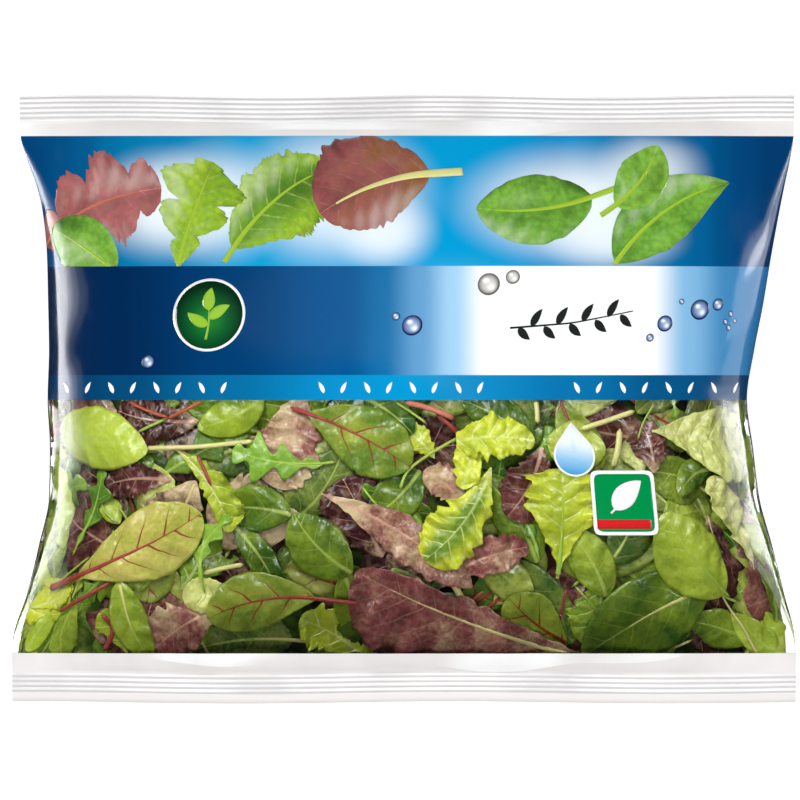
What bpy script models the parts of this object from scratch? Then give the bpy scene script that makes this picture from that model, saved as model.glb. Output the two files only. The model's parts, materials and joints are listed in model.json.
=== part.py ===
"""A sealed pillow bag of salad leaves, lying on its back, as one closed solid.

X runs across the bag, Y from its bottom seal to its top seal and Z up, so the printed front faces +Z.
The origin is the middle of the bag's box, on the surface that the bag lies on. All sizes are in metres.
The film is welded flat and ribbed at both ends, drawn in at the waist by its filling, pleated along the
welds and dented at the corners, and the filling's weight presses it flat underneath.
"""

import math

import bmesh
import bpy

# Sizes that drive the shape
LENGTH = 0.211
WIDTH = 0.2726
THICKNESS = 0.071
EQUATOR = 0.031          # height of the side edges and of both seals above the surface
SEAL_THICKNESS = 0.0008
SEAL_DROOP = 0.0025      # how far a seal's outer edge hangs below its weld
SEAL_WAVE = 0.0011       # how far the seals wave up and down
SEAL_SWAY = 0.0004       # how far they wave along the bag

# Crimped ribs of the two welds, and the plain hem outside them
RIB_PITCH = 0.00173
RIB_HEIGHT = 0.0003
TOP_RIBS, BOTTOM_RIBS = 5, 4
TOP_HEM, BOTTOM_HEM = 0.0004, 0.0031

# How far each side is drawn in from half the bag's width, in mm, at places along it from -1 to 1
PLACES = (-1.0, -0.84, -0.79, -0.64, -0.48, -0.32, -0.16, 0.0, 0.16, 0.31, 0.47, 0.63, 0.71, 0.79, 0.87, 1.0)
LEFT_INSETS = (0.0, 0.0, 0.4, 5.3, 9.4, 12.9, 13.2, 12.4, 12.9, 12.6, 12.2, 10.5, 8.4, 5.3, 3.0, 2.5)
RIGHT_INSETS = (0.0, 0.1, 0.4, 4.2, 8.4, 12.9, 15.0, 17.1, 14.6, 11.5, 8.7, 5.6, 3.9, 2.1, 0.8, 0.4)

# Fullness of the filled body: how squarely it bulges along and across the bag
BULGE_ALONG, BULGE_ALONG_ROUND = 2.4, 0.78
BULGE_ACROSS = 2.7
SIDE_ROUND, SIDE_PINCH = 0.5, 0.40   # how round the sides are at the waist, and how much sharper by the welds
PRESSED = 0.0025                     # height over which the film curls up from the surface it lies on
LUMPS = 0.0008                       # unevenness where leaves press on the film

# Pleats that start at a weld and die out in the body
PLEAT_DEPTH, PLEAT_PEAK = 0.0018, 0.010
PLEAT_LENGTHS = (0.0335, 0.0212)

# Dents of the film: (x, y, radius across, radius along, depth in mm), as shares of half the width and length
FRONT_DENTS = ((-0.90, 0.66, 0.055, 0.17, 3.0), (0.93, 0.60, 0.05, 0.20, 2.2),
               (-0.91, -0.60, 0.06, 0.16, 3.2), (0.92, -0.62, 0.055, 0.17, 3.0),
               (-0.72, 0.14, 0.09, 0.12, 1.4), (0.74, -0.16, 0.10, 0.13, 1.6),
               (-0.30, -0.80, 0.14, 0.07, 1.6), (0.34, 0.80, 0.16, 0.08, 1.5))
BACK_DENTS = ((-0.88, 0.58, 0.07, 0.16, 2.8), (0.90, 0.52, 0.06, 0.20, 2.4),
              (-0.90, -0.50, 0.07, 0.18, 2.6), (0.90, -0.56, 0.06, 0.16, 2.8))

# Mesh fineness
COLUMNS = 42
BODY_ROWS = 32

HALF = LENGTH / 2
BODY_LOW = -HALF + BOTTOM_HEM + BOTTOM_RIBS * RIB_PITCH
BODY_HIGH = HALF - TOP_HEM - TOP_RIBS * RIB_PITCH
BODY_MIDDLE, BODY_REACH = (BODY_LOW + BODY_HIGH) / 2, (BODY_HIGH - BODY_LOW) / 2
FRONT, BACK = 1, -1


def clear_scene():
    for item in list(bpy.data.objects):
        bpy.data.objects.remove(item, do_unlink=True)


def slope_at(values, index):
    """The slope of a curve through the values at one of its places, level at a turn and at both ends."""
    if index in (0, len(values) - 1):
        return 0.0
    before = (values[index] - values[index - 1]) / (PLACES[index] - PLACES[index - 1])
    after = (values[index + 1] - values[index]) / (PLACES[index + 1] - PLACES[index])
    return 0.0 if before * after <= 0 else 2 * before * after / (before + after)


def smooth_inset(values, place):
    """A smooth curve through the values at PLACES."""
    index = max(i for i in range(len(PLACES) - 1) if PLACES[i] <= place or i == 0)
    gap = PLACES[index + 1] - PLACES[index]
    share = min(1.0, max(0.0, (place - PLACES[index]) / gap))
    square, cube = share ** 2, share ** 3
    ends = (3 * square - 2 * cube) * (values[index + 1] - values[index]) + values[index]
    start_slope, end_slope = slope_at(values, index) * gap, slope_at(values, index + 1) * gap
    return ends + (cube - 2 * square + share) * start_slope + (cube - square) * end_slope


def side_at(y, side):
    """X of the bag's side edge: side is -1 for the left and 1 for the right."""
    insets = LEFT_INSETS if side < 0 else RIGHT_INSETS
    return side * (WIDTH / 2 - smooth_inset(insets, y / HALF) / 1000)


def fullness(y):
    """How far the body is filled at y: 1 in the middle and 0 at the welds."""
    share = min(1.0, abs(y - BODY_MIDDLE) / BODY_REACH)
    return (1 - share ** BULGE_ALONG) ** BULGE_ALONG_ROUND


def across(share, y):
    """How high the film stands at a share of the way from the middle to the side."""
    sharpness = SIDE_ROUND + SIDE_PINCH * (1 - fullness(y)) ** 2
    return (1 - min(1.0, abs(share)) ** BULGE_ACROSS) ** sharpness


def rib(y):
    """Height of the crimped ribs in the two welds."""
    if y >= BODY_HIGH:
        along, count = (HALF - TOP_HEM - y) / RIB_PITCH, TOP_RIBS
    elif y <= BODY_LOW:
        along, count = (y + HALF - BOTTOM_HEM) / RIB_PITCH, BOTTOM_RIBS
    else:
        return 0.0
    return RIB_HEIGHT * math.sin(2 * math.pi * along) if 0 < along < count else 0.0


def beside_weld(y):
    """1 in the seals, and less and less over the first 30 mm of the body."""
    gap = min(y - BODY_LOW, BODY_HIGH - y)
    return max(0.0, 1 - max(0.0, gap) / 0.03) ** 2


def middle_height(x, y):
    """Height of the plane between front and back: the seals droop and wave a little."""
    edge = BODY_HIGH if y > 0 else BODY_LOW
    beyond = max(0.0, abs(y) - abs(edge)) / (HALF - abs(edge))
    turn = 2 * math.pi * x
    wave = math.sin(turn / 0.19 + (0.6 if y > 0 else 2.2)) + 0.4 * math.sin(turn / 0.083)
    return EQUATOR - SEAL_DROOP * beyond ** 1.5 + SEAL_WAVE * wave * beside_weld(y) + rib(y)


def sway(x, y):
    """How far a seal's ribs and edge wander along the bag."""
    return SEAL_SWAY * math.sin(2 * math.pi * x / (0.115 if y > 0 else 0.148) + 0.9) * beside_weld(y)


def pleats(x, y, face):
    """Shallow folds that run into the body from each weld."""
    gap = min(y - BODY_LOW, BODY_HIGH - y)
    if gap <= 0:
        return 0.0
    size = PLEAT_DEPTH * gap / PLEAT_PEAK * math.exp(1 - gap / PLEAT_PEAK)
    start = (0.4 if y > 0 else 1.9) + (0.0 if face == FRONT else 1.1)
    turn = 2 * math.pi * x * (1 - 0.8 * gap)
    return size * (0.6 * math.sin(turn / PLEAT_LENGTHS[0] + start)
                   + 0.4 * math.sin(turn / PLEAT_LENGTHS[1] + 2 * start))


def dents(x, y, face):
    """Hollows where the film is slack: by the corners, the sides and the welds."""
    total = 0.0
    for at_x, at_y, wide, long, depth in FRONT_DENTS if face == FRONT else BACK_DENTS:
        off_x = (x / (WIDTH / 2) - at_x) / wide
        off_y = (y / HALF - at_y) / long
        total += depth / 1000 * math.exp(-off_x ** 2 - off_y ** 2)
    return total


def lumps(x, y):
    """Soft unevenness where leaves press on the film."""
    return LUMPS * (math.sin(x / 0.0105 + 1.3 * math.sin(y / 0.017)) + math.cos(y / 0.0092 + x / 0.021))


def pressed_flat(height):
    """Keeps a height at or above the surface, with a smooth start to the rise."""
    if height <= -PRESSED:
        return 0.0
    return (height + PRESSED) ** 2 / (4 * PRESSED) if height < PRESSED else height


def film_point(column, y, face):
    """A point of the film. column runs from -1 at the left side to 1 at the right."""
    share = math.sin(math.pi / 2 * column)
    left, right = side_at(y, -1), side_at(y, 1)
    x = (left + right) / 2 + (right - left) / 2 * share
    rise = (THICKNESS - EQUATOR - SEAL_THICKNESS / 2) * fullness(y) * across(share, y)
    slack = across(share, y) * (pleats(x, y, face) - dents(x, y, face) + lumps(x, y) * fullness(y))
    height = middle_height(x, y) + face * (SEAL_THICKNESS / 2 + max(0.0, rise + slack))
    return (x, y + sway(x, y), height if face == FRONT else pressed_flat(height))


def rows():
    """The places along the bag where the mesh has a row of points: two to each rib, closer by the welds."""
    half_rib = RIB_PITCH / 2
    bottom = [-HALF + BOTTOM_HEM + half_rib * (step + 0.5) for step in range(2 * BOTTOM_RIBS)]
    top = [BODY_HIGH + half_rib * (step + 0.5) for step in range(2 * TOP_RIBS)]
    body = []
    for step in range(BODY_ROWS + 1):
        turn = math.cos(math.pi * step / BODY_ROWS)
        body.append(BODY_MIDDLE - BODY_REACH * turn * (0.5 + 0.5 * abs(turn)))
    return [-HALF, -HALF + BOTTOM_HEM] + bottom + body + top + [HALF]


def film_sheet(mesh, places, face):
    """One face of the bag: a grid shaped to the film. Returns its outer edges."""
    made = bmesh.ops.create_grid(mesh, x_segments=COLUMNS, y_segments=len(places) - 1, size=1)
    for vertex in made["verts"]:
        row = round((vertex.co.y + 1) / 2 * (len(places) - 1))
        vertex.co = film_point(vertex.co.x, places[row], face)
    edges = {edge for vertex in made["verts"] for edge in vertex.link_edges}
    return [edge for edge in edges if edge.is_boundary]


def plastic_film():
    material = bpy.data.materials.new("printed_film")
    material.use_nodes = True
    shader = material.node_tree.nodes["Principled BSDF"]
    shader.inputs["Base Color"].default_value = (0.10, 0.32, 0.16, 1)
    shader.inputs["Roughness"].default_value = 0.22
    shader.inputs["Metallic"].default_value = 0.0
    return material


def make_bag():
    """The whole bag: a front and a back sheet joined all round."""
    mesh = bmesh.new()
    places = rows()
    rims = [film_sheet(mesh, places, face) for face in (FRONT, BACK)]
    bmesh.ops.bridge_loops(mesh, edges=rims[0] + rims[1])
    bmesh.ops.recalc_face_normals(mesh, faces=mesh.faces)
    data = bpy.data.meshes.new("bag")
    mesh.to_mesh(data)
    mesh.free()
    data.shade_smooth()
    data.set_sharp_from_angle(angle=math.radians(60))
    bag = bpy.data.objects.new("bag", data)
    bpy.context.scene.collection.objects.link(bag)
    data.materials.append(plastic_film())
    return bag


clear_scene()
make_bag()
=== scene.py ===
"""A sealed pillow bag of mixed salad leaves: printed film above, clear film below, over loose leaves."""

import json
import math

import bmesh
import bpy
import numpy as np
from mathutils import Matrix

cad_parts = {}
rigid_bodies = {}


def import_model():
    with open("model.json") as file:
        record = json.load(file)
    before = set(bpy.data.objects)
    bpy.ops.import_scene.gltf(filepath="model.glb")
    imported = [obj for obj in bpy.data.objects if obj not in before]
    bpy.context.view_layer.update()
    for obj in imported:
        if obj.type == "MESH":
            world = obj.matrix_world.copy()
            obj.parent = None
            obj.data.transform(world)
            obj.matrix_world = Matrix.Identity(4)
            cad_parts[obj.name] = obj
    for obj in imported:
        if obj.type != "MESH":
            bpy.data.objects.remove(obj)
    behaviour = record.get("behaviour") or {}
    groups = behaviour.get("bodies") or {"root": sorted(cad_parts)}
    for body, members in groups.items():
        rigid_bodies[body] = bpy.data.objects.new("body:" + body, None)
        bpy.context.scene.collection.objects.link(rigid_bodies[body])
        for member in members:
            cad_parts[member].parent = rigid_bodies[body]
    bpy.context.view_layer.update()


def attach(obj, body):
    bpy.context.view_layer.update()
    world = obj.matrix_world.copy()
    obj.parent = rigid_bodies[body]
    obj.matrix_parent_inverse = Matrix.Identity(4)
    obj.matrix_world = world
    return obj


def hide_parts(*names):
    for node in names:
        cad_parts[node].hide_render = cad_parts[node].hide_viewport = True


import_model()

# ---------------------------------------------------------------- sizes, in metres, as in the bag's solid

LENGTH = 0.211
WIDTH = 0.2726
THICKNESS = 0.071
EQUATOR = 0.031
SEAL_THICKNESS = 0.0008
SEAL_DROOP = 0.0025
SEAL_WAVE = 0.0011
SEAL_SWAY = 0.0004
SWAY_TOP, SWAY_LOW, SWAY_START = 0.115, 0.148, 0.9
WELD_REACH = 0.03
RIB_PITCH = 0.00173
RIB_HEIGHT = 0.0003
TOP_RIBS, BOTTOM_RIBS = 5, 4
TOP_HEM, BOTTOM_HEM = 0.0004, 0.0031
PLACES = (-1.0, -0.84, -0.79, -0.64, -0.48, -0.32, -0.16, 0.0, 0.16, 0.31, 0.47, 0.63, 0.71, 0.79, 0.87, 1.0)
LEFT_INSETS = (0.0, 0.0, 0.4, 5.3, 9.4, 12.9, 13.2, 12.4, 12.9, 12.6, 12.2, 10.5, 8.4, 5.3, 3.0, 2.5)
RIGHT_INSETS = (0.0, 0.1, 0.4, 4.2, 8.4, 12.9, 15.0, 17.1, 14.6, 11.5, 8.7, 5.6, 3.9, 2.1, 0.8, 0.4)
BULGE_ALONG, BULGE_ALONG_ROUND = 2.4, 0.78
BULGE_ACROSS = 2.7
SIDE_ROUND, SIDE_PINCH = 0.5, 0.40
PRESSED = 0.0025
LUMPS = 0.0008
PLEAT_DEPTH, PLEAT_PEAK = 0.0018, 0.010
PLEAT_LENGTHS = (0.0335, 0.0212)
# Dents: (x as a share of half the width, y as a share of half the length, their reaches, depth in mm)
FRONT_DENTS = ((-0.90, 0.66, 0.055, 0.17, 3.0), (0.93, 0.60, 0.05, 0.20, 2.2),
               (-0.91, -0.60, 0.06, 0.16, 3.2), (0.92, -0.62, 0.055, 0.17, 3.0),
               (-0.72, 0.14, 0.09, 0.12, 1.4), (0.74, -0.16, 0.10, 0.13, 1.6),
               (-0.30, -0.80, 0.14, 0.07, 1.6), (0.34, 0.80, 0.16, 0.08, 1.5))
BACK_DENTS = ((-0.88, 0.58, 0.07, 0.16, 2.8), (0.90, 0.52, 0.06, 0.20, 2.4),
              (-0.90, -0.50, 0.07, 0.18, 2.6), (0.90, -0.56, 0.06, 0.16, 2.8))
# Slack of the film that the solid leaves out: (x, y, reach across, reach along, depth), in mm
FILM_DENTS = ((-119.5, 17, 5, 7, -2.4), (-104.5, 35, 9, 9, -1.5), (-119.5, -32, 5, 6, -2.2),
              (-117, -67, 9, 15, -2.6), (113, 8, 8, 9, 0.8), (119, 62, 9, 9, 2.6), (113, 42, 9, 9, -0.6),
              (114, -25, 7, 12, -0.5), (117, -44, 8, 9, 0.4), (120, -67, 9, 15, -2.6))
HALF = LENGTH / 2
BODY_LOW = -HALF + BOTTOM_HEM + BOTTOM_RIBS * RIB_PITCH
BODY_HIGH = HALF - TOP_HEM - TOP_RIBS * RIB_PITCH
BODY_MIDDLE, BODY_REACH = (BODY_LOW + BODY_HIGH) / 2, (BODY_HIGH - BODY_LOW) / 2
FRONT, BACK = 1, -1
TURN = 2 * math.pi

# Where the print changes along the bag
PANEL_TOP, PANEL_LOW, BAND_LOW, STRIPE_LOW, WINDOW_LOW = 0.0914, 0.0459, 0.0083, -0.0003, -0.0882
PRINT_EDGE = 0.0001
FILM_IOR = 1.38

# ---------------------------------------------------------------- the film's shape


def slope_at(values, index):
    if index in (0, len(values) - 1):
        return 0.0
    before = (values[index] - values[index - 1]) / (PLACES[index] - PLACES[index - 1])
    after = (values[index + 1] - values[index]) / (PLACES[index + 1] - PLACES[index])
    return 0.0 if before * after <= 0 else 2 * before * after / (before + after)


def smooth_inset(values, place):
    """A smooth curve through the values at PLACES."""
    index = max(i for i in range(len(PLACES) - 1) if PLACES[i] <= place or i == 0)
    gap = PLACES[index + 1] - PLACES[index]
    share = min(1.0, max(0.0, (place - PLACES[index]) / gap))
    square, cube = share ** 2, share ** 3
    ends = (3 * square - 2 * cube) * (values[index + 1] - values[index]) + values[index]
    start_slope, end_slope = slope_at(values, index) * gap, slope_at(values, index + 1) * gap
    return ends + (cube - 2 * square + share) * start_slope + (cube - square) * end_slope


def side_at(y, side):
    """X of the bag's side edge: side is -1 for the left and 1 for the right."""
    insets = LEFT_INSETS if side < 0 else RIGHT_INSETS
    return side * (WIDTH / 2 - smooth_inset(insets, y / HALF) / 1000)


def fullness(y):
    share = min(1.0, abs(y - BODY_MIDDLE) / BODY_REACH)
    return (1 - share ** BULGE_ALONG) ** BULGE_ALONG_ROUND


def rib(y):
    if y >= BODY_HIGH:
        along, count = (HALF - TOP_HEM - y) / RIB_PITCH, TOP_RIBS
    elif y <= BODY_LOW:
        along, count = (y + HALF - BOTTOM_HEM) / RIB_PITCH, BOTTOM_RIBS
    else:
        return 0.0
    return -RIB_HEIGHT * math.sin(TURN * along) if 0 < along < count else 0.0


def beside_weld(y):
    gap = np.minimum(y - BODY_LOW, BODY_HIGH - y).clip(0)
    return (1 - gap / WELD_REACH).clip(0) ** 2


def dented(slack, x, y, dents):
    """The slack less soft dents, each given as (x, y, reach across, reach along, depth in mm)."""
    for at_x, at_y, wide, long, depth in dents:
        off_x, off_y = (x - at_x) / wide, (y - at_y) / long
        slack = slack - depth / 1000 * np.exp(-off_x ** 2 - off_y ** 2)
    return slack


def film_row(y, columns, face):
    """X and Z of one row of the film, for columns from -1 at the left side to 1 at the right."""
    share = np.sin(math.pi / 2 * columns)
    left, right = side_at(y, -1), side_at(y, 1)
    x = (left + right) / 2 + (right - left) / 2 * share
    filled = fullness(y)
    across = (1 - np.abs(share).clip(0, 1) ** BULGE_ACROSS) ** (SIDE_ROUND + SIDE_PINCH * (1 - filled) ** 2)
    rise = (THICKNESS - EQUATOR - SEAL_THICKNESS / 2) * filled * across
    gap = min(y - BODY_LOW, BODY_HIGH - y)
    slack = LUMPS * (np.sin(x / 0.0105 + 1.3 * math.sin(y / 0.017)) + np.cos(y / 0.0092 + x / 0.021)) * filled
    if gap > 0:
        size = PLEAT_DEPTH * gap / PLEAT_PEAK * math.exp(1 - gap / PLEAT_PEAK)
        start = (0.4 if y > 0 else 1.9) + (0.0 if face == FRONT else 1.1)
        turn = TURN * x * (1 - 0.8 * gap)
        slack += size * (0.6 * np.sin(turn / PLEAT_LENGTHS[0] + start)
                         + 0.4 * np.sin(turn / PLEAT_LENGTHS[1] + 2 * start))
    slack = dented(slack, x / (WIDTH / 2), y / HALF, FRONT_DENTS if face == FRONT else BACK_DENTS)
    slack += film_creases(x, y, share, face)
    edge = BODY_HIGH if y > 0 else BODY_LOW
    beyond = max(0.0, abs(y) - abs(edge)) / (HALF - abs(edge))
    wave = np.sin(TURN * x / 0.19 + (0.6 if y > 0 else 2.2)) + 0.4 * np.sin(TURN * x / 0.083)
    middle = EQUATOR - SEAL_DROOP * beyond ** 1.5 + SEAL_WAVE * wave * beside_weld(y) + rib(y)
    z = middle + face * (SEAL_THICKNESS / 2 + np.maximum(0.0, rise + across * slack))
    if face == BACK:
        z = np.where(z <= -PRESSED, 0.0, np.where(z < PRESSED, (z + PRESSED) ** 2 / (4 * PRESSED), z))
    return x, z


def film_creases(x, y, share, face):
    """Fine slack that the solid leaves out: short pleats at the welds and buckles down the sides."""
    gap = max(0.0, min(y - BODY_LOW, BODY_HIGH - y))
    start = 1.7 if y > 0 else 0.3
    fine = 0.00035 * gap / 0.005 * math.exp(1 - gap / 0.005)
    wander = TURN * x * (1 - 1.6 * gap)
    pleat = fine * (np.sin(wander / 0.0117 + start) + 0.7 * np.sin(wander / 0.0074 + 3 * start + 40 * y))
    side = np.exp(-((np.abs(share) - 0.93) / 0.09) ** 2)
    hand = np.where(share > 0, 1.9, 0.2) + (0.0 if face == FRONT else 2.4)
    buckle = np.sin(y / 0.0072 + hand + 9 * np.abs(share)) + 0.6 * np.sin(y / 0.0041 + 2 * hand - 14 * share)
    if face == FRONT:
        pleat = dented(pleat, 1000 * x, 1000 * y, FILM_DENTS)
    return pleat + 0.0005 * side * buckle


def sway(x, y):
    return SEAL_SWAY * np.sin(TURN * x / np.where(y > 0, SWAY_TOP, SWAY_LOW) + SWAY_START) * beside_weld(y)


# ---------------------------------------------------------------- the film unrolled
# girth runs round the bag: -GIRTH and GIRTH at the middle of the back, 0 at the middle of the front.

GIRTH = WIDTH
CELL = 0.0006
HALF_ROUND = 160
GIRTHS = np.arange(-GIRTH, GIRTH + CELL / 2, CELL)
ALONGS = np.arange(-HALF, HALF + CELL / 2, CELL)


def run_along(x, y):
    """How far along a line each of its points lies."""
    return np.concatenate([[0], np.cumsum(np.hypot(np.diff(x), np.diff(y)))])


def unrolled_row(y):
    """X and Z round the bag at y, and the line inside that depths are measured towards."""
    out, home = np.linspace(0, 1, HALF_ROUND), np.linspace(-1, 1, 2 * HALF_ROUND)
    parts = [film_row(y, -out, BACK), film_row(y, home, FRONT), film_row(y, out[::-1], BACK)]
    x, z = (np.concatenate([part[axis] for part in parts]) for axis in (0, 1))
    run = run_along(x, z)
    front_middle = run[2 * HALF_ROUND]
    beyond = (run - front_middle) / (run[-1] - front_middle)
    girth = np.where(run < front_middle, run / front_middle - 1, beyond)
    x, z = np.interp(GIRTHS / GIRTH, girth, x), np.interp(GIRTHS / GIRTH, girth, z)
    half_height = (z.max() - z.min()) / 2
    inner_x = x.clip(x.min() + 0.95 * half_height, x.max() - 0.95 * half_height)
    return x, z, inner_x, np.full_like(x, (z.max() + z.min()) / 2)


TABLES = [np.array(rows) for rows in zip(*(unrolled_row(y) for y in ALONGS))]


def sample(table, girth, y):
    """The table's values at places round and along the bag, by straight lines between its cells."""
    across = ((girth + GIRTH) / CELL).clip(0, table.shape[1] - 1.001)
    along = ((y + HALF) / CELL).clip(0, table.shape[0] - 1.001)
    column, row = across.astype(int), along.astype(int)
    across, along = across - column, along - row
    low = table[row, column] * (1 - across) + table[row, column + 1] * across
    high = table[row + 1, column] * (1 - across) + table[row + 1, column + 1] * across
    return low * (1 - along) + high * along


def inside(girth, y, depth):
    """Points at a depth under the film. Depths shrink towards the bag's middle, so that nothing passes it."""
    x, z, inner_x, inner_z = (sample(table, girth, y) for table in TABLES)
    reach = np.maximum(0.0004, np.hypot(inner_x - x, inner_z - z))
    room = 0.92 * reach
    share = np.where(depth > 0, room * (1 - np.exp(-depth / room)), depth) / reach
    return np.stack([x + (inner_x - x) * share, y + sway(x, y), z + (inner_z - z) * share], axis=-1)


def girth_of(x, y):
    """The place round the front of the bag that has this x."""
    row = TABLES[0][int(round((y + HALF) / CELL))]
    front = np.abs(GIRTHS) < GIRTH * 0.5
    return float(np.interp(x, row[front], GIRTHS[front]))


# ---------------------------------------------------------------- materials


def srgb(red, green, blue):
    """A colour given as 0 to 255 on a screen, as the light it stands for."""
    steps = [value / 255 for value in (red, green, blue)]
    return tuple(s / 12.92 if s <= 0.04045 else ((s + 0.055) / 1.055) ** 2.4 for s in steps) + (1.0,)


class Finish:
    """A material being put together: each call adds a node and gives its output."""

    def __init__(self, name):
        self.material = bpy.data.materials.new(name)
        self.material.use_nodes = True
        self.tree = self.material.node_tree
        self.tree.nodes.clear()

    def node(self, kind, inputs, **settings):
        made = self.tree.nodes.new("ShaderNode" + kind)
        for key, value in settings.items():
            setattr(made, key, value)
        for key, value in inputs.items():
            if isinstance(value, bpy.types.NodeSocket):
                self.tree.links.new(value, made.inputs[key])
            else:
                made.inputs[key].default_value = value
        return made

    def math(self, operation, first, second=0.0, third=0.0):
        return self.node("Math", {0: first, 1: second, 2: third}, operation=operation).outputs[0]

    def times(self, first, second):
        return self.math("MULTIPLY", first, second)

    def plus(self, first, second):
        return self.math("ADD", first, second)

    def minus(self, first, second):
        return self.math("SUBTRACT", first, second)

    def over(self, first, second):
        return self.math("DIVIDE", first, second)

    def most(self, first, second):
        return self.math("MAXIMUM", first, second)

    def place(self):
        return self.node("TexCoord", {}).outputs["Object"]

    def held(self, layer, output="Vector"):
        """The values that a layer of the mesh holds."""
        return self.node("Attribute", {}, attribute_name=layer).outputs[output]

    def axes(self, vector):
        return tuple(self.node("SeparateXYZ", {0: vector}).outputs)

    def size(self, value):
        return self.math("ABSOLUTE", value)

    def step(self, value, low, high, start=0.0, end=1.0):
        """start below low, end above high, and smooth between."""
        inputs = {0: value, 1: low, 2: high, 3: start, 4: end}
        return self.node("MapRange", inputs, interpolation_type="SMOOTHSTEP").outputs[0]

    def past(self, value, level, start=0.0, end=1.0):
        """start below a level and end above it, with a sharp edge."""
        return self.step(value, level - PRINT_EDGE, level + PRINT_EDGE, start, end)

    def mix(self, factor, first, second, blend="MIX"):
        made = self.node("Mix", {0: factor, 6: first, 7: second}, data_type="RGBA", blend_type=blend)
        return made.outputs[2]

    def ramp(self, factor, stops, interpolation="EASE"):
        made = self.node("ValToRGB", {0: factor})
        ramp = made.color_ramp
        ramp.interpolation = interpolation
        while len(ramp.elements) < len(stops):
            ramp.elements.new(0.5)
        for element, (place, colour) in zip(ramp.elements, stops):
            element.position = place
            element.color = colour
        return made.outputs[0]

    def noise(self, vector, scale, detail=3.0, roughness=0.5):
        inputs = {"Vector": vector, "Scale": scale, "Detail": detail, "Roughness": roughness}
        return self.node("TexNoise", inputs).outputs["Fac"]

    def bump(self, height, distance, strength=1.0):
        inputs = {"Height": height, "Distance": distance, "Strength": strength}
        return self.node("Bump", inputs).outputs[0]

    def shader_mix(self, factor, first, second):
        return self.node("MixShader", {0: factor, 1: first, 2: second}).outputs[0]

    def done(self, shader):
        self.node("OutputMaterial", {"Surface": shader})
        return self.material


def along_width(stops):
    """Colour stops given as (mm from the middle, colour), as places on a ramp across the bag."""
    return [((x / 1000 + WIDTH / 2) / WIDTH, srgb(*colour)) for x, colour in stops]


PANEL_COLOURS = ((-128, (1, 66, 118)), (-119, (1, 77, 128)), (-112, (1, 88, 141)), (-102, (2, 111, 162)),
                 (-95, (3, 121, 172)), (-84, (4, 130, 184)), (-53, (4, 158, 212)), (12, (2, 156, 214)),
                 (26, (1, 155, 212)), (54, (4, 142, 202)), (84, (4, 118, 172)), (103, (1, 94, 148)),
                 (110, (1, 78, 131)), (118, (1, 68, 123)), (127, (1, 58, 108)))
BAND_COLOURS = ((-124, (10, 38, 76)), (-100, (0, 40, 84)), (-60, (0, 60, 112)), (-20, (0, 84, 145)),
                (-7, (12, 108, 166)), (6, (94, 156, 203)), (17, (158, 205, 236)), (29, (248, 251, 254)),
                (84, (252, 254, 255)), (98, (130, 186, 226)), (112, (66, 138, 190)), (124, (44, 118, 176)))
STRIPE_COLOURS = ((-124, (2, 52, 96)), (-96, (3, 74, 120)), (-60, (5, 108, 160)), (-18, (6, 142, 202)),
                  (0, (2, 150, 208)), (24, (9, 136, 195)), (58, (6, 112, 168)), (90, (5, 84, 134)),
                  (122, (12, 62, 106)))
# Soft white glows behind the printed leaves: (centre, radii, strength)
GLOWS = (((-0.0831, 0.0674), (0.031, 0.0225), 0.93), ((-0.0657, 0.0680), (0.031, 0.025), 0.85),
         ((-0.0240, 0.0709), (0.041, 0.030), 0.92), ((-0.0066, 0.0580), (0.021, 0.0165), 0.85),
         ((0.0577, 0.0674), (0.047, 0.0245), 0.95), ((0.0855, 0.0779), (0.023, 0.0185), 0.75),
         ((0.0716, 0.0560), (0.030, 0.0145), 0.80))
# The welds' milky grey, then the painted highlight white and the painted groove shade of their swooshes and
# ribs
SEAL_GREY, SEAL_HIGHLIGHT, SEAL_GROOVE_SHADE = srgb(234, 231, 230), srgb(254, 254, 254), srgb(208, 205, 206)


def soft_oval(finish, x, y, centre, radii, soft):
    """1 in the middle of an oval and 0 outside it, fading over its outer share."""
    off_x = finish.over(finish.minus(x, centre[0]), radii[0])
    off_y = finish.over(finish.minus(y, centre[1]), radii[1])
    squares = finish.plus(finish.math("POWER", finish.size(off_x), 2.0),
                          finish.math("POWER", finish.size(off_y), 2.0))
    return finish.step(finish.math("SQRT", squares), 1 - soft, 1.0, 1.0, 0.0)


def film_surface(finish, smoothest, roughest):
    """The film's worn roughness and its faint crinkle."""
    place = finish.place()
    wear = finish.noise(place, 260.0, 4.0, 0.6)
    crinkle = finish.bump(finish.noise(place, 55.0, 2.0, 0.5), 0.0004, 0.25)
    return finish.step(wear, 0.3, 0.7, smoothest, roughest), crinkle


def printed_skin(finish, colour):
    """Ink under the film's own gloss."""
    rough, crinkle = film_surface(finish, 0.11, 0.16)
    return finish.node("BsdfPrincipled", {
        "Base Color": colour, "Roughness": rough, "Normal": crinkle, "IOR": FILM_IOR}).outputs[0]


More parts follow.
